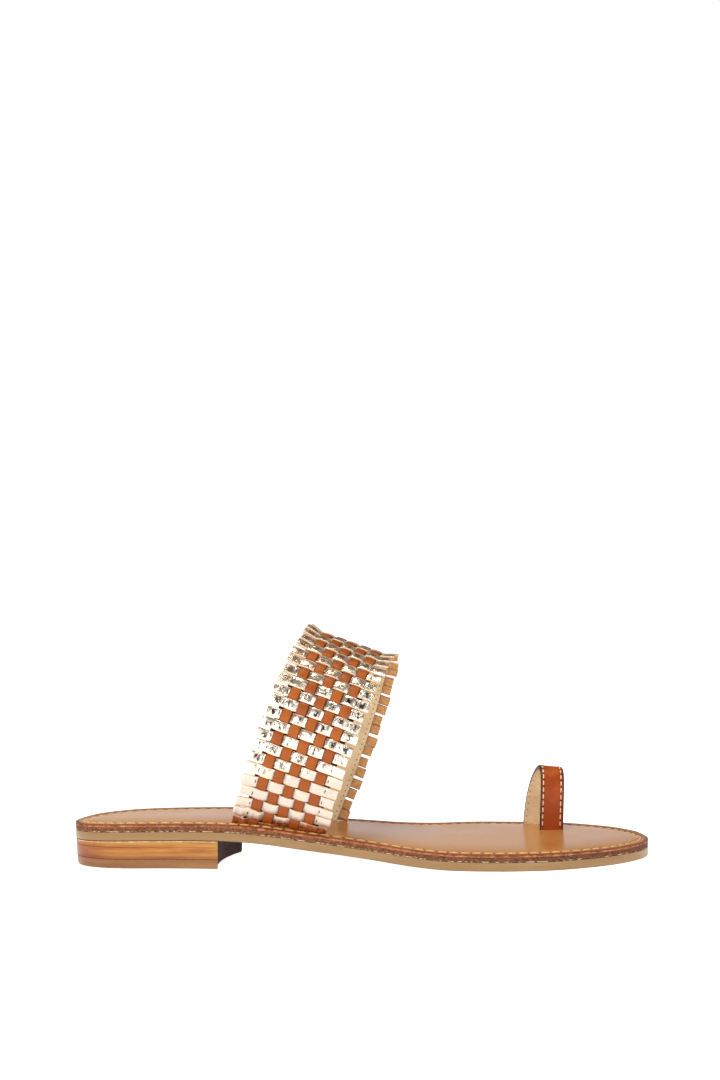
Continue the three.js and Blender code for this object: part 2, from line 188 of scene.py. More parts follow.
# %% A smooth curve through points
def smooth_through(points, closed=False, steps=24):
    """A centripetal Catmull-Rom curve, with the same number of steps between each two given points."""
    given = np.array(points, float)
    if closed:
        padded = np.vstack([given[-1:], given, given[:2]])
    else:
        padded = np.vstack([2 * given[:1] - given[1:2], given, 2 * given[-1:] - given[-2:-1]])
    t = np.linspace(0, 1, steps, endpoint=False)[:, None]
    out = []
    for p0, p1, p2, p3 in zip(padded, padded[1:], padded[2:], padded[3:]):
        d0, d1, d2 = (max(np.linalg.norm(b - a), 1e-9) ** 0.5 for a, b in ((p0, p1), (p1, p2), (p2, p3)))
        leave = ((p1 - p0) / d0 - (p2 - p0) / (d0 + d1) + (p2 - p1) / d1) * d1
        arrive = ((p2 - p1) / d1 - (p3 - p1) / (d1 + d2) + (p3 - p2) / d2) * d1
        cubic = 2 * p1 - 2 * p2 + leave + arrive
        square = 3 * p2 - 3 * p1 - 2 * leave - arrive
        out.append(cubic * t**3 + square * t**2 + leave * t + p1)
    if not closed:
        out.append(given[-1:])
    return np.vstack(out)


def evenly(points, count, closed=False):
    """The same line with count points at equal distances along it."""
    line = np.vstack([points, points[:1]]) if closed else np.asarray(points)
    run = np.concatenate([[0], np.cumsum(np.linalg.norm(np.diff(line, axis=0), axis=1))])
    at = np.linspace(0, run[-1], count, endpoint=not closed)
    return np.stack([np.interp(at, run, line[:, k]) for k in range(line.shape[1])], axis=1)


lateral_side = [(row[0], row[1]) for row in SECTIONS]
medial_side = [(row[0], row[2]) for row in SECTIONS[1:-1]]
OUTLINE = evenly(smooth_through(lateral_side + medial_side[::-1], closed=True), 300, closed=True)
TOP_LINE = smooth_through([(row[0], row[3]) for row in SECTIONS])
SHIFT = np.append((OUTLINE.min(axis=0) + OUTLINE.max(axis=0)) / 2, 0)
print("outline", np.ptp(OUTLINE, axis=0).round(1), "mm, moved by", SHIFT.round(2))


def insole_top(x):
    """Height of the insole's upper face at a station."""
    return np.maximum(np.interp(x, TOP_LINE[:, 0], TOP_LINE[:, 1]), STACK)


def inside(line, inset):
    """A closed line moved inwards by a distance."""
    run = np.roll(line, -1, axis=0) - np.roll(line, 1, axis=0)
    run /= np.linalg.norm(run, axis=1, keepdims=True)
    return line + inset * np.stack([-run[:, 1], run[:, 0]], axis=1)


# %% [markdown]
# ## From a flat blank to a finished object
# Every piece starts as a flat blank in a bmesh, is shaped there in millimetres, and becomes an object only
# at the end.

# %% Finishing a piece
def finish_piece(name, bm, materials, replaces=(), crease_degrees=38):
    """Turns a bmesh in millimetres into a finished object at the origin, in metres."""
    bmesh.ops.translate(bm, verts=bm.verts[:], vec=-Vector(SHIFT))
    bmesh.ops.scale(bm, verts=bm.verts[:], vec=(MM, MM, MM))
    for face in bm.faces:
        face.smooth = True
    for edge in bm.edges:
        edge.smooth = len(edge.link_faces) == 2 and edge.calc_face_angle(0) < math.radians(crease_degrees)
    mesh = bpy.data.meshes.new(name)
    bm.to_mesh(mesh)
    bm.free()
    piece = bpy.data.objects.new(name, mesh)
    bpy.context.scene.collection.objects.link(piece)
    for material in materials:
        mesh.materials.append(material)
    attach(piece, "root")
    if replaces:
        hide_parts(*replaces)
    print(name, len(mesh.polygons), "faces")


def join_blanks(blanks):
    """One bmesh that holds several. The blanks are used up."""
    whole = bmesh.new()
    whole.loops.layers.uv.new("UVMap")
    for blank in blanks:
        mesh = bpy.data.meshes.new("blank")
        blank.to_mesh(mesh)
        blank.free()
        whole.from_mesh(mesh)
        bpy.data.meshes.remove(mesh)
    return whole


# %% [markdown]
# ## Words for shader nodes
# Base Color sockets want linear light, but a colour given here is an sRGB value, so a function converts
# it. The class below only shortens the adding and joining of nodes, so that a finish reads as a few lines of
# intent: which noise, how it is cut into a mask, and which two colours it mixes.

# %% Colour and node helpers
def rgb(red, green, blue):
    """An sRGB colour as linear light with alpha."""
    def linear(value):
        value /= 255
        return value / 12.92 if value <= 0.04045 else ((value + 0.055) / 1.055) ** 2.4
    return (linear(red), linear(green), linear(blue), 1)


class Nodes:
    """Short words for adding and joining shader nodes in one tree."""

    def __init__(self, tree):
        self.tree = tree

    def put(self, socket, value):
        if isinstance(value, bpy.types.NodeSocket):
            self.tree.links.new(value, socket)
        else:
            socket.default_value = value

    def add(self, kind, settings=None, **inputs):
        node = self.tree.nodes.new("ShaderNode" + kind)
        for key, value in (settings or {}).items():
            setattr(node, key, value)
        for key, value in inputs.items():
            self.put(node.inputs[key.replace("_", " ")], value)
        return node

    def math(self, operation, *values):
        node = self.add("Math", {"operation": operation})
        for socket, value in zip(node.inputs, values):
            self.put(socket, value)
        return node.outputs[0]

    def times(self, first, second):
        return self.math("MULTIPLY", first, second)

    def times_plus(self, first, second, third):
        return self.math("MULTIPLY_ADD", first, second, third)

    def ramp(self, value, low, high, start=0.0, end=1.0):
        node = self.add("MapRange", {"interpolation_type": "SMOOTHSTEP"}, Value=value)
        for key, number in (("From Min", low), ("From Max", high), ("To Min", start), ("To Max", end)):
            self.put(node.inputs[key], number)
        return node.outputs["Result"]

    def mix(self, factor, first, second):
        node = self.add("Mix", {"data_type": "RGBA"})
        self.put(node.inputs[0], factor)
        self.put(node.inputs[6], first)
        self.put(node.inputs[7], second)
        return node.outputs[2]

    def object_place(self, stretch=None):
        where = self.add("TexCoord").outputs["Object"]
        return self.add("Mapping", Vector=where, Scale=stretch).outputs[0] if stretch else where

    def object_axes(self):
        return self.add("SeparateXYZ", Vector=self.object_place()).outputs

    def strip_axes(self):
        return self.add("SeparateXYZ", Vector=self.add("UVMap").outputs[0]).outputs

    def noise(self, scale, detail=3.0, rough=0.55, stretch=None):
        where = self.object_place(stretch)
        node = self.add("TexNoise", Vector=where, Scale=scale, Detail=detail, Roughness=rough)
        return node.outputs["Fac"]

    def specks(self, scale, measure="F1"):
        node = self.add("TexVoronoi", {"feature": measure}, Vector=self.object_place(), Scale=scale)
        return node.outputs["Distance"]

    def group(self, tree, **inputs):
        return self.add("Group", {"node_tree": tree}, **inputs).outputs


def new_group(name, inputs, outputs):
    """A shader node group with number inputs and outputs. Returns its tree, words and two end nodes."""
    tree = bpy.data.node_groups.new(name, "ShaderNodeTree")
    for label, value in inputs.items():
        tree.interface.new_socket(label, in_out="INPUT", socket_type="NodeSocketFloat").default_value = value
    for label in outputs:
        tree.interface.new_socket(label, in_out="OUTPUT", socket_type="NodeSocketFloat")
    given = tree.nodes.new("NodeGroupInput").outputs
    return tree, Nodes(tree), given, tree.nodes.new("NodeGroupOutput").inputs


def new_material(name, color, roughness, metallic=0.0, shine=0.5):
    """A material with a Principled shader, and the short words to build on it."""
    material = bpy.data.materials.new(name)
    material.use_nodes = True
    shader = material.node_tree.nodes["Principled BSDF"].inputs
    shader["Base Color"].default_value = color
    shader["Roughness"].default_value = roughness
    shader["Metallic"].default_value = metallic
    shader["Specular IOR Level"].default_value = shine
    return material, Nodes(material.node_tree), shader


def bump(nodes, shader, height, distance_mm, strength=1.0):
    """Feeds a height into the shader's normal through one Bump node."""
    node = nodes.add("Bump", Height=height)
    node.inputs["Strength"].default_value = strength
    node.inputs["Distance"].default_value = distance_mm * MM
    nodes.put(shader["Normal"], node.outputs[0])


# %% [markdown]
# ## Effects that several finishes share
# Smooth leather has two scales: pores a fraction of a millimetre across, and cloudy patches where the hide
# took dye differently. Both go into one node group. Its outputs are a height for the bump and a cloud mask
# for the colour, and every smooth leather on the sandal places it with its own numbers.

# %% Leather grain group
def make_grain_group():
    inputs = {"Pores": 2600.0, "Clouds": 60.0}
    tree, nodes, given, out = new_group("leather grain", inputs, ["Height", "Cloud"])
    pores = nodes.ramp(nodes.specks(given["Pores"]), 0.0, 0.75)
    fine = nodes.noise(given["Pores"], 2.0)
    nodes.put(out["Height"], nodes.times_plus(pores, 0.6, nodes.times(fine, 0.4)))
    nodes.put(out["Cloud"], nodes.ramp(nodes.noise(given["Clouds"], 4.0, 0.6), 0.32, 0.68))
    return tree


GRAIN = make_grain_group()

# %% [markdown]
# A sewn row shows as evenly spaced needle holes. On a UV map in millimetres, a hole lies wherever the
# distance along the strip is near the middle of a pitch and the distance across is near the row's own line.
# The group takes the absolute distance from the middle line, so that one group draws both rows of a band.

# %% Needle hole group
def make_hole_group():
    tree, nodes, given, out = new_group("needle holes", {"Line": 14.5, "Pitch": 2.5, "Size": 0.3}, ["Hole"])
    place = nodes.strip_axes()
    turn = nodes.math("FRACT", nodes.math("DIVIDE", place["X"], given["Pitch"]))
    along = nodes.times(nodes.math("SUBTRACT", turn, 0.5), given["Pitch"])
    across = nodes.math("SUBTRACT", nodes.math("ABSOLUTE", place["Y"]), given["Line"])
    squares = nodes.times_plus(along, along, nodes.times(across, across))
    near = nodes.math("DIVIDE", nodes.math("SQRT", squares), given["Size"])
    nodes.put(out["Hole"], nodes.ramp(near, 0.7, 1.3, 1.0, 0.0))
    return tree


HOLES = make_hole_group()

# %% [markdown]
# A cut edge of a strip shows its raw core or its edge paint, so the top looks different right at the edge. The
# group reads how far a point lies from the strip's middle and returns a mask that grows over the last few
# tenths of a millimetre before the edge, with a slight waver, as no knife cut is perfect.

# %% Strip edge group
def make_edge_group():
    tree, nodes, given, out = new_group("strip edge", {"Half Width": 2.0, "Fade": 0.4}, ["Edge"])
    waver = nodes.math("SUBTRACT", nodes.noise(900.0, 2.0), 0.5)
    across = nodes.times_plus(waver, 0.35, nodes.math("ABSOLUTE", nodes.strip_axes()["Y"]))
    start = nodes.math("SUBTRACT", given["Half Width"], given["Fade"])
    nodes.put(out["Edge"], nodes.ramp(across, start, given["Half Width"]))
    return tree


EDGE = make_edge_group()

# %% [markdown]
# ## Finishes of the sole
# Each finish starts from the real one: vegetable-tanned leather with a light satin glaze on the insole, fibre
# board with flecks in the middle, poured honey resin below, stained and varnished lifts in the heel.

# %% Insole leather
def make_insole_leather():
    material, nodes, shader = new_material("insole leather", rgb(196, 134, 72), 0.26)
    grain = nodes.group(GRAIN, Pores=2400.0, Clouds=22.0)
    color = nodes.mix(grain["Cloud"], rgb(202, 132, 58), rgb(214, 148, 76))
    lengthwise = nodes.object_axes()["X"]
    color = nodes.mix(nodes.ramp(lengthwise, -0.09, -0.03, 0.4, 0.0), color, rgb(236, 184, 126))
    fibre = nodes.ramp(nodes.noise(700.0), 0.35, 0.75, 0.0, 0.14)
    color = nodes.mix(fibre, color, rgb(164, 100, 46))
    rim = nodes.strip_axes()["Y"]
    # Painted shade: the sewing groove is darkened along its line.
    painted_groove_shade = nodes.ramp(nodes.math("ABSOLUTE", nodes.math("SUBTRACT", rim, 3.1)), 0.4, 1.4, 0.6, 0.0)
    color = nodes.mix(painted_groove_shade, color, rgb(132, 62, 24))
    hole = nodes.group(HOLES, Line=STITCH_INSET, Pitch=STITCH_PITCH, Size=0.55)["Hole"]
    color = nodes.mix(nodes.times(hole, 0.9), color, rgb(84, 40, 18))
    color = nodes.mix(nodes.ramp(rim, 1.0, 2.2, 0.9, 0.0), color, rgb(112, 46, 18))
    nodes.put(shader["Base Color"], color)
    nodes.put(shader["Roughness"], nodes.ramp(grain["Cloud"], 0.0, 1.0, 0.21, 0.27))
    bump(nodes, shader, grain["Height"], 0.03, 0.2)
    return material


INSOLE_LEATHER = make_insole_leather()


# %% Painted edges
def make_edge_paint(name, color, dark, roughness, shine=0.5):
    material, nodes, shader = new_material(name, color, roughness, shine=shine)
    patch = nodes.ramp(nodes.noise(420.0, 4.0, 0.65), 0.35, 0.7)
    nodes.put(shader["Base Color"], nodes.mix(patch, dark, color))
    bump(nodes, shader, nodes.noise(1500.0), 0.08, 0.6)
    return material


INSOLE_EDGE = make_edge_paint("insole edge paint", rgb(212, 138, 92), rgb(138, 66, 34), 0.55, 0.3)
LOOP_EDGE = make_edge_paint("toe loop edge paint", rgb(52, 26, 16), rgb(34, 18, 12), 0.5, 0.2)
BREAST_PAINT = make_edge_paint("heel breast paint", rgb(62, 34, 24), rgb(42, 22, 16), 0.7, 0.15)


# %% Fibre board of the midsole
def make_board():
    material, nodes, shader = new_material("midsole board", rgb(112, 74, 56), 0.85, shine=0.25)
    fibres = nodes.noise(1500.0, 5.0, 0.75, (0.5, 0.5, 1.6))
    color = nodes.mix(nodes.ramp(fibres, 0.4, 0.62), rgb(72, 38, 22), rgb(146, 96, 62))
    pale = nodes.ramp(nodes.specks(1700.0), 0.14, 0.34, 0.8, 0.0)
    picked = nodes.ramp(nodes.noise(900.0, 2.0), 0.5, 0.6)
    color = nodes.mix(nodes.times(pale, picked), color, rgb(206, 156, 124))
    color = nodes.mix(nodes.ramp(nodes.noise(330.0), 0.52, 0.68, 0.0, 0.45), color, rgb(130, 64, 34))
    lengthwise = nodes.object_axes()["X"]
    color = nodes.mix(nodes.ramp(lengthwise, 0.0, 0.06, 0.0, 0.3), color, rgb(62, 36, 20))
    glue = nodes.ramp(nodes.strip_axes()["Y"], 0.17, 0.3)
    glue = nodes.times(glue, nodes.ramp(nodes.noise(640.0, 3.0), 0.48, 0.58))
    color = nodes.mix(glue, color, rgb(232, 200, 164))
    nodes.put(shader["Base Color"], color)
    bump(nodes, shader, nodes.noise(1300.0, 5.0, 0.7), 0.2, 0.9)
    return material


BOARD = make_board()


# %% Honey resin of the outsole and of the heel's top piece
def make_resin(name, pale, deep, scale, heights, rim):
    """Poured resin, deeper in tone between two heights and, in a thin line, at its rounded lower rim."""
    material, nodes, shader = new_material(name, pale, 0.36, shine=0.3)
    height = nodes.object_axes()["Z"]
    drift = nodes.ramp(nodes.noise(scale, 3.0, 0.5, (0.25, 0.25, 2.0)), 0.3, 0.7, 0.0, 0.7)
    upper = nodes.ramp(height, heights[0] * MM, heights[1] * MM, 0.0, 0.6)
    color = nodes.mix(nodes.math("MAXIMUM", drift, upper), pale, deep)
    dark = nodes.ramp(nodes.strip_axes()["Y"], rim[0], rim[1], 0.0, 0.8)
    nodes.put(shader["Base Color"], nodes.mix(dark, color, rgb(62, 48, 24)))
    nodes.put(shader["Roughness"], nodes.ramp(nodes.noise(300.0), 0.3, 0.7, 0.3, 0.42))
    bump(nodes, shader, nodes.noise(240.0, 4.0, 0.6, (0.5, 0.5, 1.6)), 0.1, 0.3)
    return material


RESIN = make_resin("outsole resin", rgb(158, 126, 86), rgb(140, 104, 62), 120.0, (11.0, 14.5), (0.12, 0.32))
TOP_RESIN = make_resin("heel top resin", rgb(146, 106, 60), rgb(118, 72, 42), 160.0, (1.0, 4.2), (0.85, 1.5))


# %% Varnished heel lifts
def make_lift():
    """Stacked lifts: long streaks, finer ones over them, and a redder stain at the very back."""
    material, nodes, shader = new_material("heel lift", rgb(200, 136, 68), 0.3, shine=0.3)
    streaks = nodes.noise(260.0, 5.0, 0.65, (0.12, 0.12, 2.2))
    color = nodes.mix(nodes.ramp(streaks, 0.34, 0.62), rgb(156, 94, 32), rgb(184, 128, 56))
    fine = nodes.ramp(nodes.noise(900.0, 3.0, 0.6, (0.06, 0.06, 1.8)), 0.55, 0.7, 0.0, 0.5)
    color = nodes.mix(fine, color, rgb(126, 68, 24))
    place = nodes.object_axes()
    back = nodes.math("ADD", place["X"], nodes.times(place["Z"], 1.6))
    back = nodes.times_plus(nodes.noise(60.0), 0.02, back)
    color = nodes.mix(nodes.ramp(back, -0.104, -0.082, 0.85, 0.0), color, rgb(140, 68, 32))
    low = nodes.ramp(place["Z"], 5.0 * MM, 6.2 * MM, 0.6, 0.0)
    color = nodes.mix(low, color, rgb(116, 50, 26))
    nodes.put(shader["Roughness"], nodes.ramp(streaks, 0.3, 0.7, 0.32, 0.42))
    nodes.put(shader["Base Color"], color)
    shader["Coat Weight"].default_value = 0.1
    shader["Coat Roughness"].default_value = 0.2
    bump(nodes, shader, streaks, 0.12, 0.4)
    return material


LIFT = make_lift()
GLUE = make_edge_paint("pale glue line", rgb(226, 186, 140), rgb(180, 128, 84), 0.5)

# %% [markdown]
# ## The sole's layers
# Insole, board and runner are cut to one outline, and the press gives them the height of the last. A layer
# is a stack of rings: each is the outline moved in a little and raised to a height that follows the last.
# Bridging neighbouring rings gives the side wall, the rounded rim and the sewing groove in one go. The two
# open ends are filled. The fills are sliced across the shoe, and the insole's also along it, because a face
# can bend only where it is cut.

# %% A layer from stacked rings
def put_ring(bm, line, heights):
    """A closed ring of points at given heights. Returns its points and its edges."""
    made = bmesh.ops.create_circle(bm, segments=len(line), radius=1)["verts"]
    for vert, (x, y), z in zip(made, line, heights):
        vert.co = (x, y, z)
    return made, list({edge for vert in made for edge in vert.link_edges})


def slice_face(bm, face, step, lengthwise=False):
    """Cuts a face by upright planes across the shoe, and also along it where it is to be domed."""
    geom = [face, *face.edges, *face.verts]
    for axis in (0, 1) if lengthwise else (0,):
        ends = [vert.co[axis] for vert in geom if isinstance(vert, bmesh.types.BMVert)]
        normal = (1 - axis, axis, 0)
        for at in np.arange(min(ends) + step / 2, max(ends) - step / 4, step):
            plane = (at * normal[0], at * normal[1], 0)
            cut = bmesh.ops.bisect_plane(bm, geom=geom, dist=0.0005, plane_co=plane, plane_no=normal)
            geom = [item for item in cut["geom"] if item.is_valid]


FILL_INSET = 12
STITCH_RUN = np.linalg.norm(np.diff(np.vstack([OUTLINE, OUTLINE[:1]]), axis=0), axis=1).sum()
STITCH_COUNT = round(STITCH_RUN * 0.97 / STITCH_PITCH)


def stacked_rings(rings, slice_step=3.0, lengthwise=False):
    """A closed slab from rings of (line, heights, inset), each with the same number of points.

    The UV map runs round the rim in stitch lengths, and across it in millimetres from the edge.
    """
    bm = bmesh.new()
    uv = bm.loops.layers.uv.new("UVMap")
    place = {}
    edges = []
    step = STITCH_COUNT * STITCH_PITCH / len(rings[0][0])
    for line, heights, inset in rings:
        made, ring_edges = put_ring(bm, line, heights)
        edges.append(ring_edges)
        place.update({vert: (step * i, inset) for i, vert in enumerate(made)})
    for low, high in zip(edges, edges[1:]):
        bmesh.ops.bridge_loops(bm, edges=low + high)
    for ring_edges in (edges[0], edges[-1]):
        fill = bmesh.ops.edgeloop_fill(bm, edges=ring_edges)["faces"][0]
        slice_face(bm, fill, slice_step, lengthwise and ring_edges is edges[-1])
    bmesh.ops.recalc_face_normals(bm, faces=bm.faces[:])
    whole = step * len(rings[0][0])
    for face in bm.faces:
        spots = [place.get(loop.vert, (0, FILL_INSET)) for loop in face.loops]
        at_seam = max(spot[0] for spot in spots) > whole / 2
        for loop, (run, inset) in zip(face.loops, spots):
            loop[uv].uv = (run + whole if at_seam and run < whole / 2 else run, inset)
    return bm


def rings_of(profile):
    """Rings of the sole's outline for a profile of inset and height above the insole's upper face."""
    out = []
    for inset, rise in profile:
        line = inside(OUTLINE, inset)
        out.append((line, insole_top(line[:, 0]) + rise, inset))
    return out


print("ring tools ready")

# %% [markdown]
# ## Insole
# The insole is the leather sheet that the foot stands on. Pressing and edge work pull its lateral rim down
# by 0.85 mm and leave the medial rim 0.6 mm high, which breaks up the mirror of the backdrop along the near
# edge. A thread runs in a shallow groove inside the edge. Fall and groove are in the mesh, so that the
# stitches really sit in them.

# %% Insole
# inset, height above the flat of the insole
INSOLE_PROFILE = (
    (0.25, -INSOLE_THICK - 0.16),
    (0.0, -INSOLE_THICK),
    (0.0, -0.5),
    (0.15, -0.34),
    (0.45, -0.26),
    (1.3, -0.2),
    (2.6, -0.12),
    (3.0, -0.26),
    (3.4, -0.34),
    (3.8, -0.24),
    (4.2, -0.08),
    (6.0, -0.03),
    (8.5, 0.0),
)
DOME_DROP = 0.85
DOME_REACH = 24
RIM_RISE = 0.6
RIM_REACH = 4
RIM_DEPTH = 0.55


def lateral_share(y):
    """1 on the lateral side and 0 on the medial side, blended over the middle 20 mm."""
    return np.clip(0.5 - y / 20, 0, 1)


def press(y, distance):
    """How far the insole is pressed down near the lateral edge, and rises at the very medial edge."""
    lateral = lateral_share(y)
    fall = DOME_DROP * np.maximum(1 - distance / DOME_REACH, 0) ** 2
    rise = RIM_RISE * np.maximum(1 - distance / RIM_REACH, 0)
    return rise * (1 - lateral) - fall * lateral


def press_top(bm):
    """Gives the upper face of the insole its fall and its raised rim."""
    verts = [vert for vert in bm.verts if vert.co.z > insole_top(vert.co.x) - RIM_DEPTH]
    places = np.array([vert.co[:2] for vert in verts])
    distance = np.linalg.norm(places[:, None] - OUTLINE[None], axis=2).min(axis=1)
    for vert, change in zip(verts, press(places[:, 1], distance)):
        vert.co.z += change


insole_blank = stacked_rings(rings_of(INSOLE_PROFILE), lengthwise=True)
press_top(insole_blank)
for face in insole_blank.faces:
    face.material_index = 0 if face.normal.z > 0.8 else 1
finish_piece("insole_sheet", insole_blank, [INSOLE_LEATHER, INSOLE_EDGE], ["insole"])

# %% [markdown]
# ## Midsole and outsole
# The board's side wall is sanded flush but stays a little rough, and the resin runner has a softened lower
# edge where it meets the floor.

# %% Midsole and outsole
midsole_down = INSOLE_THICK + LAYER_GAP
outsole_down = midsole_down + MIDSOLE_THICK + LAYER_GAP

PAINT_DOWN = midsole_down + 0.35
MIDSOLE_PROFILE = (
    (0.4, -outsole_down + 0.06),
    (0.16, -outsole_down + 0.5),
    (0.1, -PAINT_DOWN),
    (0.05, -midsole_down),
    (0.2, -midsole_down + 0.1),
)
OUTSOLE_PROFILE = (
    (0.75, -STACK),
    (0.3, -STACK + 0.15),
    (0.1, -STACK + 0.6),
    (0.1, -outsole_down - 0.12),
    (0.25, -outsole_down),
)

midsole_blank = stacked_rings(rings_of(MIDSOLE_PROFILE))
for face in midsole_blank.faces:
    painted = all(vert.co.z > insole_top(vert.co.x) - PAINT_DOWN - 0.05 for vert in face.verts)
    face.material_index = 1 if painted else 0
finish_piece("fibre_board", midsole_blank, [BOARD, INSOLE_EDGE], ["midsole"])
finish_piece("resin_runner", stacked_rings(rings_of(OUTSOLE_PROFILE)), [RESIN], ["outsole"])

# %% [markdown]
# ## Heel
# The heel is three layers under the back of the outsole: a thin lift, a thick lift and the tread. Their
# front face, which a shoemaker calls the breast, is hollow, an arc through three points. Each layer uses the
# rear of the sole's outline, cut off by that arc, and tapers slightly towards the floor.

# %% Heel outline with its hollow breast
def circle_through(first, middle, last):
    """Centre and radius of the circle through three points."""
    a, b, c = (np.array(point, float) for point in (first, middle, last))
    left = 2 * np.array([b - a, c - a])
    right = np.array([b @ b - a @ a, c @ c - a @ a])
    centre = np.linalg.solve(left, right)
    return centre, np.linalg.norm(a - centre)


BREAST_CENTRE, BREAST_RADIUS = circle_through(*BREAST)
BREAST_FROM = 60
GLUE_FROM = 10.8


def breast_x(y):
    """Where the heel's hollow front face lies at a given side position."""
    side = 1 if BREAST[0][0] > BREAST_CENTRE[0] else -1
    return BREAST_CENTRE[0] + side * np.sqrt(BREAST_RADIUS**2 - (y - BREAST_CENTRE[1]) ** 2)


def heel_line(inset, rear_count=110, breast_count=26):
    """The heel's outline at an inset: round the back, then along the hollow breast."""
    line = inside(OUTLINE, inset)
    behind = line[:, 0] < breast_x(np.clip(line[:, 1], -HEEL_HALF, HEEL_HALF))
    start = np.flatnonzero(behind & ~np.roll(behind, 1))[0]
    rear = np.roll(line, -start, axis=0)[: behind.sum()]
    rear[0, 0] = breast_x(rear[0, 1])
    rear[-1, 0] = breast_x(rear[-1, 1])
    rear = evenly(rear, rear_count)
    ys = np.linspace(rear[-1, 1], rear[0, 1], breast_count + 2)[1:-1]
    front = np.stack([breast_x(ys), ys], axis=1)
    return np.vstack([rear, front])


def heel_piece(name, node, profile, material, glue_above=None):
    """One layer of the heel in place of a CAD node.

    The profile holds the inset and a height, a number or a function of x.
    """
    rings = []
    for inset, height in profile:
        line = heel_line(inset)
        heights = height(line[:, 0]) if callable(height) else np.full(len(line), float(height))
        rings.append((line, heights, inset))
    bm = stacked_rings(rings)
    for face in bm.faces:
        on_breast = face.normal.x > 0.55 and face.calc_center_median().x > BREAST_FROM
        glue = glue_above is not None and min(vert.co.z for vert in face.verts) > glue_above
        face.material_index = 1 if on_breast and not glue else 2 if glue and abs(face.normal.z) < 0.9 else 0
    finish_piece(name, bm, [material, BREAST_PAINT, GLUE], [node], 30)


def under_outsole(drop):
    """A height just under the outsole."""
    return lambda x: insole_top(x) - STACK - drop


UPPER_LIFT = (
    (0.4, LOWER_LIFT_TOP + 0.1),
    (0.3, LOWER_LIFT_TOP + 0.22),
    (0.2, under_outsole(0.55)),
    (0.2, under_outsole(0.14)),
    (0.35, under_outsole(0.06)),
)
LOWER_LIFT = (
    (0.62, TOP_PIECE_HIGH + 0.12),
    (0.5, TOP_PIECE_HIGH + 0.25),
    (0.3, LOWER_LIFT_TOP - 0.08),
    (0.42, LOWER_LIFT_TOP + 0.04),
)
TOP_PIECE = (
    (1.9, 0.0),
    (1.3, 0.12),
    (0.95, 0.45),
    (0.8, 1.1),
    (0.5, TOP_PIECE_HIGH - 0.05),
    (0.62, TOP_PIECE_HIGH + 0.06),
)

heel_piece("upper_lift", "heel_lift_upper", UPPER_LIFT, LIFT, GLUE_FROM)
heel_piece("lower_lift", "heel_lift_lower", LOWER_LIFT, LIFT)
heel_piece("heel_tread", "heel_top_piece", TOP_PIECE, TOP_RESIN)

# %% [markdown]
# ## Thread
# Stitches are the scale a viewer reads first on a small leather object, so they are modelled, not painted. One
# is a stretched ball lying along its line, slightly sunk where the needle pulls it down. Hundreds of
# them stay cheap because each has only a few dozen faces.

# %% Thread and stitches
def make_thread(name, color, dark):
    material, nodes, shader = new_material(name, color, 0.6)
    twist = nodes.noise(2600.0, 2.0)
    nodes.put(shader["Base Color"], nodes.mix(nodes.ramp(twist, 0.35, 0.65), dark, color))
    bump(nodes, shader, twist, 0.06, 0.7)
    return material


GOLD_THREAD = make_thread("golden thread", rgb(255, 216, 148), rgb(226, 162, 92))
CREAM_THREAD = make_thread("cream thread", rgb(255, 236, 200), rgb(232, 190, 146))
ROOT_THREAD = make_thread("dark thread", rgb(62, 44, 32), rgb(34, 24, 18))


def one_stitch(bm, at, along, up, length, thick):
    """Adds a stretched ball that lies along a direction, with its flat side to the leather."""
    along = Vector(along).normalized()
    side = Vector(up).cross(along).normalized()
    turn = Matrix((along, side, along.cross(side))).transposed().to_4x4()
    size = Matrix.Diagonal((length / 2, thick / 2, thick * 0.42, 1))
    lie = Matrix.Rotation(math.pi / 2, 4, "Y")
    place = Matrix.Translation(Vector(at)) @ turn @ size @ lie
    bmesh.ops.create_uvsphere(bm, u_segments=8, v_segments=6, radius=1, matrix=place)


STITCH_LONG = 4.1
STITCH_THICK = 1.05
STITCH_HEIGHT = -0.24


def spread_round(line, count):
    """Points spread over a closed line in equal shares of its own steps."""
    closed = np.vstack([line, line[:1]])
    at = np.arange(count) * len(line) / count
    return np.stack([np.interp(at, range(len(closed)), closed[:, k]) for k in (0, 1)], axis=1)


stitch_line = spread_round(inside(OUTLINE, STITCH_INSET), STITCH_COUNT)
stitch_blank = bmesh.new()
random.seed(7)
for before, (x, y), after in zip(np.roll(stitch_line, 1, 0), stitch_line, np.roll(stitch_line, -1, 0)):
    rise = insole_top(after[0]) - insole_top(before[0])
    along = (after[0] - before[0], after[1] - before[1] + random.uniform(-0.6, 0.6), rise)
    sunk = 0.3 * (1 - lateral_share(y))
    z = insole_top(x) + press(y, STITCH_INSET) + STITCH_HEIGHT - sunk
    one_stitch(stitch_blank, (x, y, z), along, (0, 0, 1), STITCH_LONG, STITCH_THICK)
finish_piece("insole_stitches", stitch_blank, [GOLD_THREAD])
print(len(stitch_line), "stitches round the insole")

# %% [markdown]
# ## Bands in space
# The strap and the toe loop are bands that follow a curve. The easiest way to model a band is to lay it flat
# first, where a strip is just a thin box, and then to wrap it: a point's first number is its distance along
# the band, its second the distance across, its third the height off the outer face. The class keeps the curve
# with its directions at many steps and turns flat points into points in space.

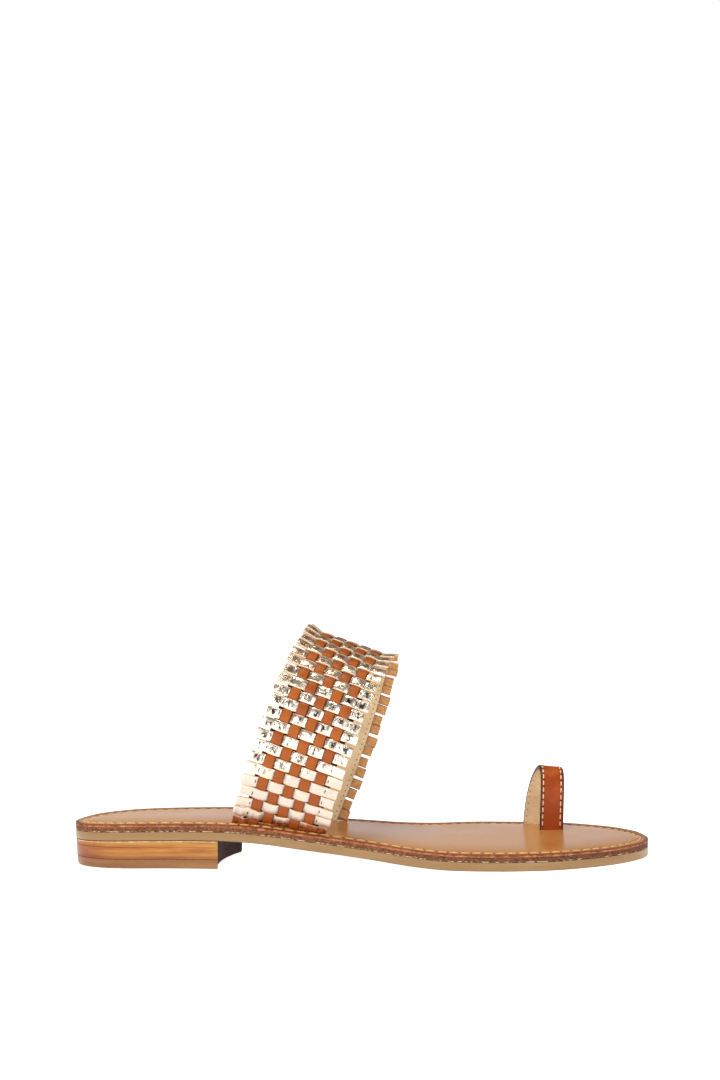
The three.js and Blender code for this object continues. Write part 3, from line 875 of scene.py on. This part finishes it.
# %% A band's path
class Band:
    """A curve that flat strips are wrapped round."""

    def __init__(self, points, width_direction, twists):
        self.at = smooth_through(points, steps=60)
        self.run = np.concatenate([[0], np.cumsum(np.linalg.norm(np.diff(self.at, axis=0), axis=1))])
        self.length = self.run[-1]
        self.along = np.gradient(self.at, self.run, axis=0)
        self.along /= np.linalg.norm(self.along, axis=1, keepdims=True)
        index = np.linspace(0, len(points) - 1, len(self.at))
        turn = np.radians(np.interp(index, range(len(points)), twists))
        cos, sin = np.cos(turn), np.sin(turn)
        x, y, z = width_direction
        wide = np.stack([x * cos - y * sin, x * sin + y * cos, np.full_like(turn, z)], axis=1)
        wide -= self.along * (self.along * wide).sum(axis=1, keepdims=True)
        self.wide = wide / np.linalg.norm(wide, axis=1, keepdims=True)
        self.out = np.cross(self.wide, self.along)

    def directions(self, distance):
        pick = lambda rows: np.array([np.interp(distance, self.run, rows[:, k]) for k in range(3)])
        return pick(self.at), pick(self.along), pick(self.wide), pick(self.out)

    def point(self, distance, across, off):
        at, along, wide, out = self.directions(distance)
        past = distance - min(max(distance, 0), self.length)
        return at + along * past + wide * across + out * off

    def wrap(self, bm, shape=None):
        """Moves every flat point of a bmesh onto the band. shape may change a flat point first."""
        for vert in bm.verts:
            flat = tuple(vert.co)
            vert.co = Vector(self.point(*(shape(*flat) if shape else flat)))
        bmesh.ops.recalc_face_normals(bm, faces=bm.faces[:])


def sloping(slope, turn=0.0):
    """A direction forwards that slopes down and turns aside."""
    level = math.cos(slope)
    return np.array([level * math.cos(turn), level * math.sin(turn), -math.sin(slope)])


STRAP_FORWARD = sloping(STRAP_SLOPE, STRAP_TURN)
STRAP_ACROSS = np.array([-math.sin(STRAP_TURN), math.cos(STRAP_TURN), 0])
STRAP_UP = np.cross(STRAP_FORWARD, STRAP_ACROSS)
STRAP = Band(
    [np.array(STRAP_FOOT) + across * STRAP_ACROSS + up * STRAP_UP for across, up, _ in STRAP_SECTION],
    STRAP_FORWARD,
    [twist for _, _, twist in STRAP_SECTION],
)
LOOP = Band(
    [(x, y, insole_top(x) + up) for x, y, up in LOOP_PATH],
    sloping(LOOP_SLOPE),
    [0] * len(LOOP_PATH),
)
ROW_COUNT = round(STRAP.length / WEFT_PITCH)
ROW_PITCH = STRAP.length / ROW_COUNT
print("strap", round(STRAP.length, 1), "mm long,", ROW_COUNT, "rows of", round(ROW_PITCH, 2), "mm")
print("toe loop", round(LOOP.length, 1), "mm long")

# %% [markdown]
# ## A flat strip
# Every strip is the same blank with other numbers: a box with its long edges bevelled, then subdivided
# along and across so that it can bend. While it is flat, its faces are sorted into top, underside and cut
# edges for their materials, and the flat position is stored as the UV map, in millimetres.

# %% A flat strip with rounded edges
TOP, UNDER, CUT = 0, 1, 2


def edges_along(bm, axis, span):
    """The edges that reach over more than half a span along one axis."""
    return [edge for edge in bm.edges if abs(edge.verts[0].co[axis] - edge.verts[1].co[axis]) > span / 2]


def flat_strip(start, end, half_width, top, thick, cuts, across_cuts, corner):
    """A flat strip from start to end along x, with its upper face at height top."""
    bm = bmesh.new()
    uv = bm.loops.layers.uv.new("UVMap")
    long = end - start
    wide = 2 * half_width
    middle = Matrix.Translation(((start + end) / 2, 0, top - thick / 2))
    bmesh.ops.create_cube(bm, size=1, matrix=middle @ Matrix.Diagonal((long, wide, thick, 1)))
    edges = edges_along(bm, 0, long)
    bmesh.ops.bevel(bm, geom=edges, offset=corner, segments=2, profile=0.5, affect="EDGES", material=-1)
    bmesh.ops.subdivide_edges(bm, edges=edges_along(bm, 1, wide), cuts=across_cuts, use_grid_fill=True)
    bmesh.ops.subdivide_edges(bm, edges=edges_along(bm, 0, long), cuts=cuts, use_grid_fill=True)
    bm.normal_update()
    for face in bm.faces:
        face.material_index = TOP if face.normal.z > 0.8 else UNDER if face.normal.z < -0.8 else CUT
        for loop in face.loops:
            loop[uv].uv = (loop.vert.co.x, loop.vert.co.y)
    return bm


def trim(bm, height_at, slope=0.0):
    """Cuts off what lies under a plane that slopes along x, and closes the cut."""
    x, z = height_at
    geom = bm.verts[:] + bm.edges[:] + bm.faces[:]
    plane = {"plane_co": (x, 0, z), "plane_no": (-slope, 0, 1)}
    cut = bmesh.ops.bisect_plane(bm, geom=geom, dist=0.0005, clear_inner=True, **plane)
    edges = [item for item in cut["geom_cut"] if isinstance(item, bmesh.types.BMEdge)]
    if edges:
        bmesh.ops.holes_fill(bm, edges=edges, sides=0)
    return bm


STRAP_TRIM = ((90, insole_top(90) - 1.2), (insole_top(112) - insole_top(74)) / 38)
LOOP_TRIM = ((210, insole_top(210) - 1.0), 0.0)
print("strap cut off along a slope of", round(STRAP_TRIM[1], 3))

# %% [markdown]
# ## Finishes of the strap
# The strap mixes two leathers. The lengthwise strips are smooth cognac calf. The crosswise strips carry a
# pale gold foil, a true metal whose colour comes from what it reflects. It breaks first at the middle of each
# raised cell, where the strip bends over the one below. In the upright rows these middles also carry
# near-black strokes, a painted reflection of the dark room between the soft boxes. Near the crest the foil is
# painted warmer and its middles taupe, a painted reflection of the dark ceiling, and its edges are cream,
# partly raw edge and partly a painted highlight. At the foot the strips turn tan and dull.

# %% Cognac leather
def make_cognac(name, pale, deep, half_width, fade, deep_below=None, sewing=None):
    """Smooth calf with darker cut edges: edge paint, which on the lengthwise strips is also painted shade
    beside each cell.

    Below a height in millimetres the colour may turn deeper, and sewing lines may leave needle holes.
    """
    material, nodes, shader = new_material(name, pale, 0.42, shine=0.3)
    grain = nodes.group(GRAIN, Pores=3000.0, Clouds=90.0)
    color = nodes.mix(grain["Cloud"], deep, pale)
    if deep_below:
        # Darker towards the bottom, below the given height.
        height = nodes.object_axes()["Z"]
        lower = nodes.ramp(height, deep_below * 0.4 * MM, deep_below * MM, 0.9, 0.0)
        color = nodes.mix(lower, color, deep)
    # Darker cut edges: edge paint, and on the lengthwise strips also painted shade beside each cell.
    edge = nodes.group(EDGE, Half_Width=half_width, Fade=fade)
    color = nodes.mix(nodes.times(edge["Edge"], 0.95), color, rgb(58, 22, 10))
    for line in sewing or ():
        hole = nodes.group(HOLES, Line=line, Pitch=LOOP_STITCH_PITCH, Size=0.5)["Hole"]
        color = nodes.mix(nodes.times(hole, 0.9), color, rgb(44, 16, 8))
    nodes.put(shader["Base Color"], color)
    nodes.put(shader["Roughness"], nodes.ramp(grain["Cloud"], 0.0, 1.0, 0.38, 0.5))
    bump(nodes, shader, grain["Height"], 0.05, 0.4)
    return material


COGNAC = make_cognac("cognac leather", rgb(170, 88, 14), rgb(146, 68, 8), WARP_WIDE / 2, 0.3, 60)
LOOP_COGNAC = make_cognac(
    "toe loop leather", rgb(196, 96, 12), rgb(152, 60, 8), LOOP_WIDE / 2 - 0.3, 0.6, 32, [LOOP_WIDE / 2 - 1.3]
)


# %% Crackled gold foil
def above_foot(nodes):
    """Metres above the sloping plane where the strap enters the sole."""
    place = nodes.object_axes()
    (x, z), slope = STRAP_TRIM
    level = nodes.times_plus(place["X"], slope, (z - slope * (x - SHIFT[0])) * MM)
    return nodes.math("SUBTRACT", place["Z"], level)


def make_foil():
    material, nodes, shader = new_material("gold foil", rgb(226, 212, 190), 0.25, 1.0)
    height = nodes.object_axes()["Z"]
    walked = nodes.ramp(height, 36 * MM, 46 * MM, 0.1, 1.0)
    strip = nodes.strip_axes()
    aside = nodes.math("ABSOLUTE", strip["Y"])
    turn = nodes.math("FRACT", nodes.times_plus(strip["X"], 1 / WARP_PITCH, 0.5))
    middle = nodes.ramp(nodes.math("ABSOLUTE", nodes.math("SUBTRACT", turn, 0.5)), 0.12, 0.34, 1.0, 0.0)
    middle = nodes.times(middle, nodes.ramp(aside, 1.0, 2.0, 1.0, 0.0))
    worn = nodes.times(nodes.ramp(nodes.noise(230.0, 2.0, 0.5), 0.5, 0.6), walked)
    worn = nodes.times(worn, nodes.times_plus(middle, 0.6, 0.4))
    wrinkle = nodes.noise(820.0, 4.0, 0.7)
    crack = nodes.ramp(nodes.specks(1250.0, "DISTANCE_TO_EDGE"), 0.02, 0.15, 1.0, 0.0)
    crack = nodes.times(nodes.times(crack, worn), nodes.ramp(wrinkle, 0.4, 0.52))
    edge = nodes.group(EDGE, Half_Width=WEFT_WIDE / 2, Fade=0.28)
    color = nodes.mix(nodes.ramp(wrinkle, 0.3, 0.7), rgb(234, 216, 194), rgb(252, 242, 228))
    color = nodes.mix(nodes.ramp(walked, 0.1, 1.0, 0.85, 0.0), color, rgb(206, 190, 176))
    # Painted reflection: the foil turns warmer towards the crest, for the warm dark ceiling it reflects.
    color = nodes.mix(nodes.ramp(height, 70 * MM, 100 * MM, 0.0, 0.75), color, rgb(250, 210, 170))
    patch = nodes.times(nodes.ramp(nodes.noise(480.0, 3.0), 0.55, 0.62), worn)
    color = nodes.mix(nodes.times(patch, 0.6), color, rgb(84, 62, 48))
    color = nodes.mix(nodes.times(crack, 0.9), color, rgb(50, 36, 28))
    # Painted reflection: in the upright rows the middle of each cell gets near-black strokes, the dark room
    # between the soft boxes mirrored.
    strokes = nodes.ramp(nodes.noise(620.0, 4.0, 0.65, (1.3, 1.3, 0.6)), 0.47, 0.53)
    upright_rows = nodes.ramp(height, 40 * MM, 48 * MM)
    upright_rows = nodes.times(upright_rows, nodes.ramp(height, 72 * MM, 82 * MM, 1.0, 0.0))
    painted_dark_reflection = nodes.times(nodes.times(middle, strokes), upright_rows)
    color = nodes.mix(painted_dark_reflection, color, rgb(22, 15, 11))
    # Painted reflection: near the crest the cell middles are painted taupe, the dark ceiling they reflect.
    crest = nodes.ramp(height, 74 * MM, 86 * MM)
    painted_ceiling_reflection = nodes.times(crest, middle)
    color = nodes.mix(nodes.times(painted_ceiling_reflection, 0.8), color, rgb(150, 124, 98))
    # Cream cell edges: the raw edge, and near the crest a wider band that is a painted highlight.
    outline = nodes.times(nodes.ramp(aside, 1.4, 1.9, 0.0, 0.8), crest)
    outline = nodes.math("MAXIMUM", outline, edge["Edge"])
    color = nodes.mix(outline, color, rgb(246, 222, 188))
    # Near the foot the strips turn tan and lose their metal shine.
    rumpled = nodes.times_plus(wrinkle, 2 * MM, above_foot(nodes))
    tan_near_foot = nodes.ramp(rumpled, 3.8 * MM, 5.6 * MM, 1.0, 0.0)
    tan = nodes.mix(nodes.ramp(wrinkle, 0.4, 0.6), rgb(92, 32, 6), rgb(172, 88, 26))
    color = nodes.mix(tan_near_foot, color, tan)
    nodes.put(shader["Base Color"], color)
    rough = nodes.ramp(nodes.noise(300.0), 0.3, 0.7, 0.16, 0.28)
    rough = nodes.math("ADD", rough, nodes.ramp(walked, 0.0, 1.0, 0.2, 0.0))
    rough = nodes.times_plus(tan_near_foot, 0.25, rough)
    nodes.put(shader["Roughness"], nodes.times_plus(edge["Edge"], 0.35, rough))
    cracks_and_dark_reflection = nodes.math("MAXIMUM", crack, painted_dark_reflection)
    dull = nodes.math("MAXIMUM", outline, nodes.times(cracks_and_dark_reflection, 0.8))
    dull = nodes.math("MAXIMUM", dull, nodes.math("MAXIMUM", tan_near_foot, nodes.ramp(walked, 0.1, 1.0, 0.3, 0.0)))
    nodes.put(shader["Metallic"], nodes.math("SUBTRACT", 1.0, dull))
    creased = nodes.times(wrinkle, nodes.times_plus(worn, 0.9, 0.1))
    bump(nodes, shader, nodes.times_plus(crack, -0.3, creased), 0.65, 1.0)
    return material


FOIL = make_foil()


# %% Raw leather of the undersides and the cut edges
def make_raw(name, pale, deep, roughness=0.8, half_width=None):
    """Napped leather. With a half width, the strip's long edges are burnished dark."""
    material, nodes, shader = new_material(name, pale, roughness, shine=0.25)
    nap = nodes.noise(1200.0, 4.0, 0.7)
    color = nodes.mix(nodes.ramp(nap, 0.3, 0.7), deep, pale)
    if half_width:
        edge = nodes.group(EDGE, Half_Width=half_width, Fade=0.5)["Edge"]
        color = nodes.mix(nodes.times(edge, 0.9), color, rgb(104, 62, 34))
    nodes.put(shader["Base Color"], color)
    bump(nodes, shader, nap, 0.1, 0.7)
    return material


RAW_EDGE = make_raw("raw cut edge", rgb(238, 206, 166), rgb(200, 150, 104))
RAW_TAN = make_raw("raw tan underside", rgb(244, 196, 134), rgb(220, 164, 102))
STRIP_UNDER = make_raw("strip underside", rgb(232, 184, 130), rgb(196, 142, 90), 0.8, WEFT_WIDE / 2)
# Painted shade: a dark brown for the lining's outer face, seen through the gaps between the strips.
PAINTED_SHADE_BACKING = make_raw("painted shade backing", rgb(70, 40, 24), rgb(44, 24, 14))
# Cut edge of the cognac strips. On the lining's long edges it is painted shade, the dark line between the
# fringe and the lining.
COGNAC_EDGE_AND_SHADE = make_raw("cognac cut edge and painted shade", rgb(120, 54, 24), rgb(84, 36, 18), 0.6)


# %% Beige lining with needle holes
def make_lining(name, line, pitch, size):
    material, nodes, shader = new_material(name, rgb(230, 208, 170), 0.75)
    nap = nodes.noise(1500.0, 4.0, 0.7)
    cloud = nodes.ramp(nodes.noise(70.0, 3.0), 0.35, 0.65)
    color = nodes.mix(cloud, rgb(220, 194, 152), rgb(238, 218, 182))
    color = nodes.mix(nodes.ramp(nap, 0.4, 0.75, 0.0, 0.35), color, rgb(180, 146, 104))
    hole = nodes.group(HOLES, Line=line, Pitch=pitch, Size=size)["Hole"]
    color = nodes.mix(nodes.times(hole, 0.85), color, rgb(84, 60, 42))
    nodes.put(shader["Base Color"], color)
    bump(nodes, shader, nodes.times_plus(hole, -1.5, nap), 0.12, 0.6)
    return material


STRAP_LINING = make_lining("strap lining leather", 14.6, 2.53, 0.3)
LOOP_LINING = make_lining("toe loop lining leather", 4.1, LOOP_STITCH_PITCH, 0.28)

# %% [markdown]
# ## Weaving the strap
# In a plain weave each strip goes over one neighbour and under the next. Seen from the side it is a wave, so a
# flat strip only needs its height changed by a wave before it is wrapped. The wave is squeezed with tanh: real
# leather strips lie flat over the strip they cross and dip quickly in the gap between two of them. Strips that
# cross use opposite waves, so they never run into each other.

# %% The wave of a woven strip
def weave_wave(phase):
    """From -1, under, to 1, over. Even whole numbers are over."""
    return np.tanh(2.0 * np.cos(np.pi * phase)) / np.tanh(2.0)


def smooth_step(low, high, value):
    t = min(max((value - low) / (high - low), 0), 1)
    return t * t * (3 - 2 * t)


def row_middle(row):
    return (row + 0.5) * ROW_PITCH


STRIP_TOP = WEAVE_MIDDLE + STRIP_THICK / 2


# %% Lengthwise cognac strips
def band_strip(band, tail, *sizes):
    """A flat strip as long as a band, with a tail past each foot."""
    return flat_strip(-tail, band.length + tail, *sizes)


def warp_shape(column):
    middle = (column - (WARP_COUNT - 1) / 2) * WARP_PITCH
    drift = random.Random(column).uniform(-1, 1)

    def shape(distance, across, height):
        wave = -weave_wave(distance / ROW_PITCH - 0.5 + column)
        crown = -0.16 * (across / (WARP_WIDE / 2)) ** 2
        wander = 0.12 * math.sin(distance / 23 + 5 * drift)
        return distance, middle + across + wander, height + WEAVE_SWING * wave + crown

    return shape


warp_blanks = []
for column in range(WARP_COUNT):
    blank = band_strip(STRAP, STRAP_TAIL, WARP_WIDE / 2, STRIP_TOP, STRIP_THICK, 10 * ROW_COUNT, 3, 0.22)
    STRAP.wrap(blank, warp_shape(column))
    warp_blanks.append(trim(blank, *STRAP_TRIM))
warp_looks = [COGNAC, RAW_TAN, COGNAC_EDGE_AND_SHADE]
finish_piece("warp_strips", join_blanks(warp_blanks), warp_looks, ["vamp_strap"], 50)

# %% [markdown]
# The crosswise strips are laid along x like any strip, so their shape function swaps the first two numbers:
# what is length on the strip is width on the strap. Their free ends are the fringe. Each end sways, lifts and
# turns by its own small amount, from a seeded random draw, so that some touch and others leave a gap.

# %% Crosswise gold foil strips with their fringe
RUMPLE = 0.35
FRINGE_ROOT = 15
FRINGE_UNDER = -1.8
# across the strap, where the ends change from woven to free, to flat, and to leaning on a neighbour
FREE_SPAN = (13.4, 20.5)
FLAT_SPAN = (13.0, 15.6)
LEAN_SPAN = (11.5, 16.5)


def weft_shape(row, draw):
    lean = 1 if row % 2 else -1
    pairing = {side: 0.22 * side * lean + draw.uniform(-0.06, 0.06) for side in (-1, 1)}
    sway = {side: 0.12 * math.sin((row + 2) * 2.3 + side) for side in (-1, 1)}
    sag = {side: draw.uniform(-0.25, 0.4) for side in (-1, 1)}
    tilt = {side: draw.uniform(-0.08, 0.08) for side in (-1, 1)}
    lift = FRINGE_LIFT * math.exp(-(((row - (ROW_COUNT - 1) / 2) / 4.5) ** 2))

    def shape(across, along, height):
        side = 1 if across > 0 else -1
        free = smooth_step(*FREE_SPAN, abs(across))
        wave = weave_wave(across / WARP_PITCH + (WARP_COUNT - 1) / 2 + row)
        flat = smooth_step(*FLAT_SPAN, abs(across))
        wave = wave * (1 - flat) + 0.15 * flat
        crown = -0.2 * (along / (WEFT_WIDE / 2)) ** 2
        rise = free * (lift + sag[side]) + free * tilt[side] * along
        drift = smooth_step(*LEAN_SPAN, abs(across)) * pairing[side] + free * sway[side]
        if row < 1:
            rise += RUMPLE * math.sin(1.3 * across + 2.1 * row) * math.cos(0.45 * across)
            drift += RUMPLE * math.sin(0.8 * across + row)
        return row_middle(row) + along + drift, across, height + WEAVE_SWING * wave + crown + rise

    return shape


def fringe_clear(row, side, reach):
    """True where a free end stays above the insole."""
    tip_x, _, tip_z = STRAP.point(row_middle(row), side * reach, FRINGE_UNDER)
    root_x, _, root_z = STRAP.point(row_middle(row), side * FRINGE_ROOT, FRINGE_UNDER)
    return tip_z > insole_top(tip_x) - 0.4 and root_z > insole_top(root_x)


random.seed(21)
weft_blanks = []
for row in range(-2, ROW_COUNT + 2):
    reach = {}
    for side, length in ((-1, FRINGE_REAR), (1, FRINGE_FRONT)):
        wanted = length + 0.5 * math.sin((row + 2) * 1.7 + 2 * side)
        reach[side] = wanted if fringe_clear(row, side, wanted) else FRINGE_SHORT
    half = WEFT_WIDE / 2 + random.uniform(-0.08, 0.06)
    blank = flat_strip(-reach[-1], reach[1], half, STRIP_TOP, STRIP_THICK, 78, 3, 0.2)
    STRAP.wrap(blank, weft_shape(row, random.Random(100 + row)))
    blank = trim(blank, *STRAP_TRIM)
    if len(blank.faces) > 20:
        weft_blanks.append(blank)
    else:
        blank.free()
weft_looks = [FOIL, STRIP_UNDER, RAW_EDGE]
finish_piece("weft_strips", join_blanks(weft_blanks), weft_looks, ["vamp_strap"], 50)
print(len(weft_blanks), "crosswise strips")

# %% [markdown]
# ## Lining
# A plain beige sheet backs the weave and keeps the strips in place. It is sewn through each fringe root, which
# leaves a row of needle holes on its inside and a small dark stitch on every crosswise strip.

# %% Lining sheet
lining_sizes = (LINING_HALF, LINING_THICK - STRAP_WALL, LINING_THICK, 4 * ROW_COUNT, 15, 0.2)
lining_blank = band_strip(STRAP, STRAP_TAIL, *lining_sizes)
STRAP.wrap(lining_blank)
trim(lining_blank, *STRAP_TRIM)
# Painted shade on the lining: its outer face, seen between the strips, and its cut edges. Its inner face is
# the beige lining.
lining_looks = [PAINTED_SHADE_BACKING, STRAP_LINING, COGNAC_EDGE_AND_SHADE]
finish_piece("strap_lining", lining_blank, lining_looks, ["vamp_strap"], 50)

# %% Stitches at the fringe roots
ROOT_LINE = 14.7

root_blank = bmesh.new()
for row in range(ROW_COUNT):
    for side in (-1, 1):
        distance = row_middle(row) + random.uniform(-0.3, 0.3)
        _, along, _, out = STRAP.directions(distance)
        at = STRAP.point(distance, side * ROOT_LINE, STRIP_TOP + 0.12)
        if at[2] > insole_top(at[0]) + 1.5:
            one_stitch(root_blank, at, along, out, 1.7, 0.42)
finish_piece("fringe_root_stitches", root_blank, [ROOT_THREAD])

# %% [markdown]
# ## Toe loop
# The toe loop is two bands glued and sewn back to back, with their edges painted dark. Two rows of cream
# stitches run along it. The rear row lies closer to its edge than the front one.

# %% Toe loop bands
loop_outer = band_strip(LOOP, LOOP_TAIL, LOOP_WIDE / 2, 0, LOOP_OUTER_THICK, 120, 7, 0.3)
LOOP.wrap(loop_outer, lambda d, w, h: (d, w, h - 0.12 * (abs(w) / (LOOP_WIDE / 2)) ** 4))
trim(loop_outer, *LOOP_TRIM)
band_looks = [LOOP_COGNAC, RAW_TAN, LOOP_EDGE]
finish_piece("toe_loop_band", loop_outer, band_looks, ["toe_loop"], 50)

lining_top = -LOOP_OUTER_THICK - 0.06
loop_inner = band_strip(LOOP, LOOP_TAIL, LOOP_WIDE / 2 - 0.1, lining_top, LOOP_LINING_THICK, 120, 9, 0.22)
# distance along the loop, depth, half width, slant
LINING_CREASES = (
    (40.5, 0.16, 0.5, 0.10),
    (43.2, 0.22, 0.6, -0.08),
    (46.0, 0.18, 0.5, 0.14),
    (49.4, 0.14, 0.6, 0.05),
    (53.6, 0.20, 0.7, -0.12),
    (57.0, 0.12, 0.5, 0.08),
)


def lining_shape(distance, across, height):
    """The toe's bending leaves fine creases across the lining."""
    fold = 0
    for at, depth, half, slant in LINING_CREASES:
        fold += depth * math.exp(-(((distance - at - slant * across) / half) ** 2))
    return distance, across, height + fold


LOOP.wrap(loop_inner, lining_shape)
trim(loop_inner, *LOOP_TRIM)
lining_looks = [RAW_TAN, LOOP_LINING, LOOP_EDGE]
finish_piece("toe_loop_lining", loop_inner, lining_looks, ["toe_loop"], 50)

# %% Toe loop stitches
LOOP_STITCH_LONG = 2.45
LOOP_STITCH_THICK = 0.52

loop_stitch_blank = bmesh.new()
for line in (-LOOP_WIDE / 2 + 1.15, LOOP_WIDE / 2 - 1.5):
    for k in range(int(LOOP.length / LOOP_STITCH_PITCH) + 1):
        distance = k * LOOP_STITCH_PITCH
        _, along, _, out = LOOP.directions(distance)
        at = LOOP.point(distance, line, 0.04)
        if at[2] > insole_top(at[0]) + 0.6:
            one_stitch(loop_stitch_blank, at, along, out, LOOP_STITCH_LONG, LOOP_STITCH_THICK)
finish_piece("toe_loop_stitches", loop_stitch_blank, [CREAM_THREAD])

# %% [markdown]
# ## Floor and light
# The shoe stands on a pale floor that melts into a pale backdrop. The foil decides the lighting: what a metal
# shows is its surroundings, so the world is bright near the horizon and darker overhead. So upright
# cells turn white and the upper ones smoky, as foil looks in a white studio.

# %% Floor
def make_floor():
    """A light table: white, and glowing by itself, so that it stays white right to the horizon."""
    material, _, shader = new_material("studio floor", rgb(235, 235, 235), 0.9, shine=0.0)
    shader["Emission Color"].default_value = (1, 1, 1, 1)
    shader["Emission Strength"].default_value = 0.93
    bm = bmesh.new()
    bmesh.ops.create_grid(bm, x_segments=1, y_segments=1, size=6)
    mesh = bpy.data.meshes.new("studio_floor")
    bm.to_mesh(mesh)
    bm.free()
    mesh.materials.append(material)
    floor = bpy.data.objects.new("studio_floor", mesh)
    bpy.context.scene.collection.objects.link(floor)


make_floor()


# %% World light
def make_world():
    world = bpy.data.worlds.new("studio")
    world.use_nodes = True
    nodes = Nodes(world.node_tree)
    toward = nodes.add("SeparateXYZ", Vector=nodes.add("TexCoord").outputs["Generated"])
    overhead = nodes.ramp(toward.outputs["Z"], 0.165, 0.26)
    light = nodes.mix(overhead, (0.95, 0.95, 0.95, 1), (0.3, 0.27, 0.24, 1))
    seen = nodes.add("LightPath").outputs["Is Camera Ray"]
    back = world.node_tree.nodes["Background"]
    nodes.put(back.inputs["Color"], nodes.mix(seen, light, (1.1, 1.1, 1.1, 1)))
    back.inputs["Strength"].default_value = 1.0
    bpy.context.scene.world = world


make_world()


# %% Lamps
def add_lamp(name, at, aim, size, brightness):
    """A soft box. Its brightness is the radiance of its face, which is what a mirror-like foil shows."""
    data = bpy.data.lights.new(name, "AREA")
    data.shape = "RECTANGLE"
    data.size, data.size_y = size
    data.energy = brightness * math.pi * size[0] * size[1]
    lamp = bpy.data.objects.new(name, data)
    lamp.location = at
    lamp.rotation_euler = (Vector(aim) - Vector(at)).to_track_quat("-Z", "Y").to_euler()
    lamp.visible_camera = False
    bpy.context.scene.collection.objects.link(lamp)
    print(name, round(data.energy, 1), "W")


add_lamp("left soft box", (-0.60, -1.0, 0.36), (0, 0, 0.05), (0.85, 0.62), 3.0)
add_lamp("right soft box", (0.75, -0.95, 0.42), (0, 0, 0.05), (0.6, 0.6), 1.8)
add_lamp("top lamp", (-0.1, -0.25, 1.3), (0, 0, 0), (0.35, 0.35), 17)
bpy.context.scene.view_settings.view_transform = "Standard"
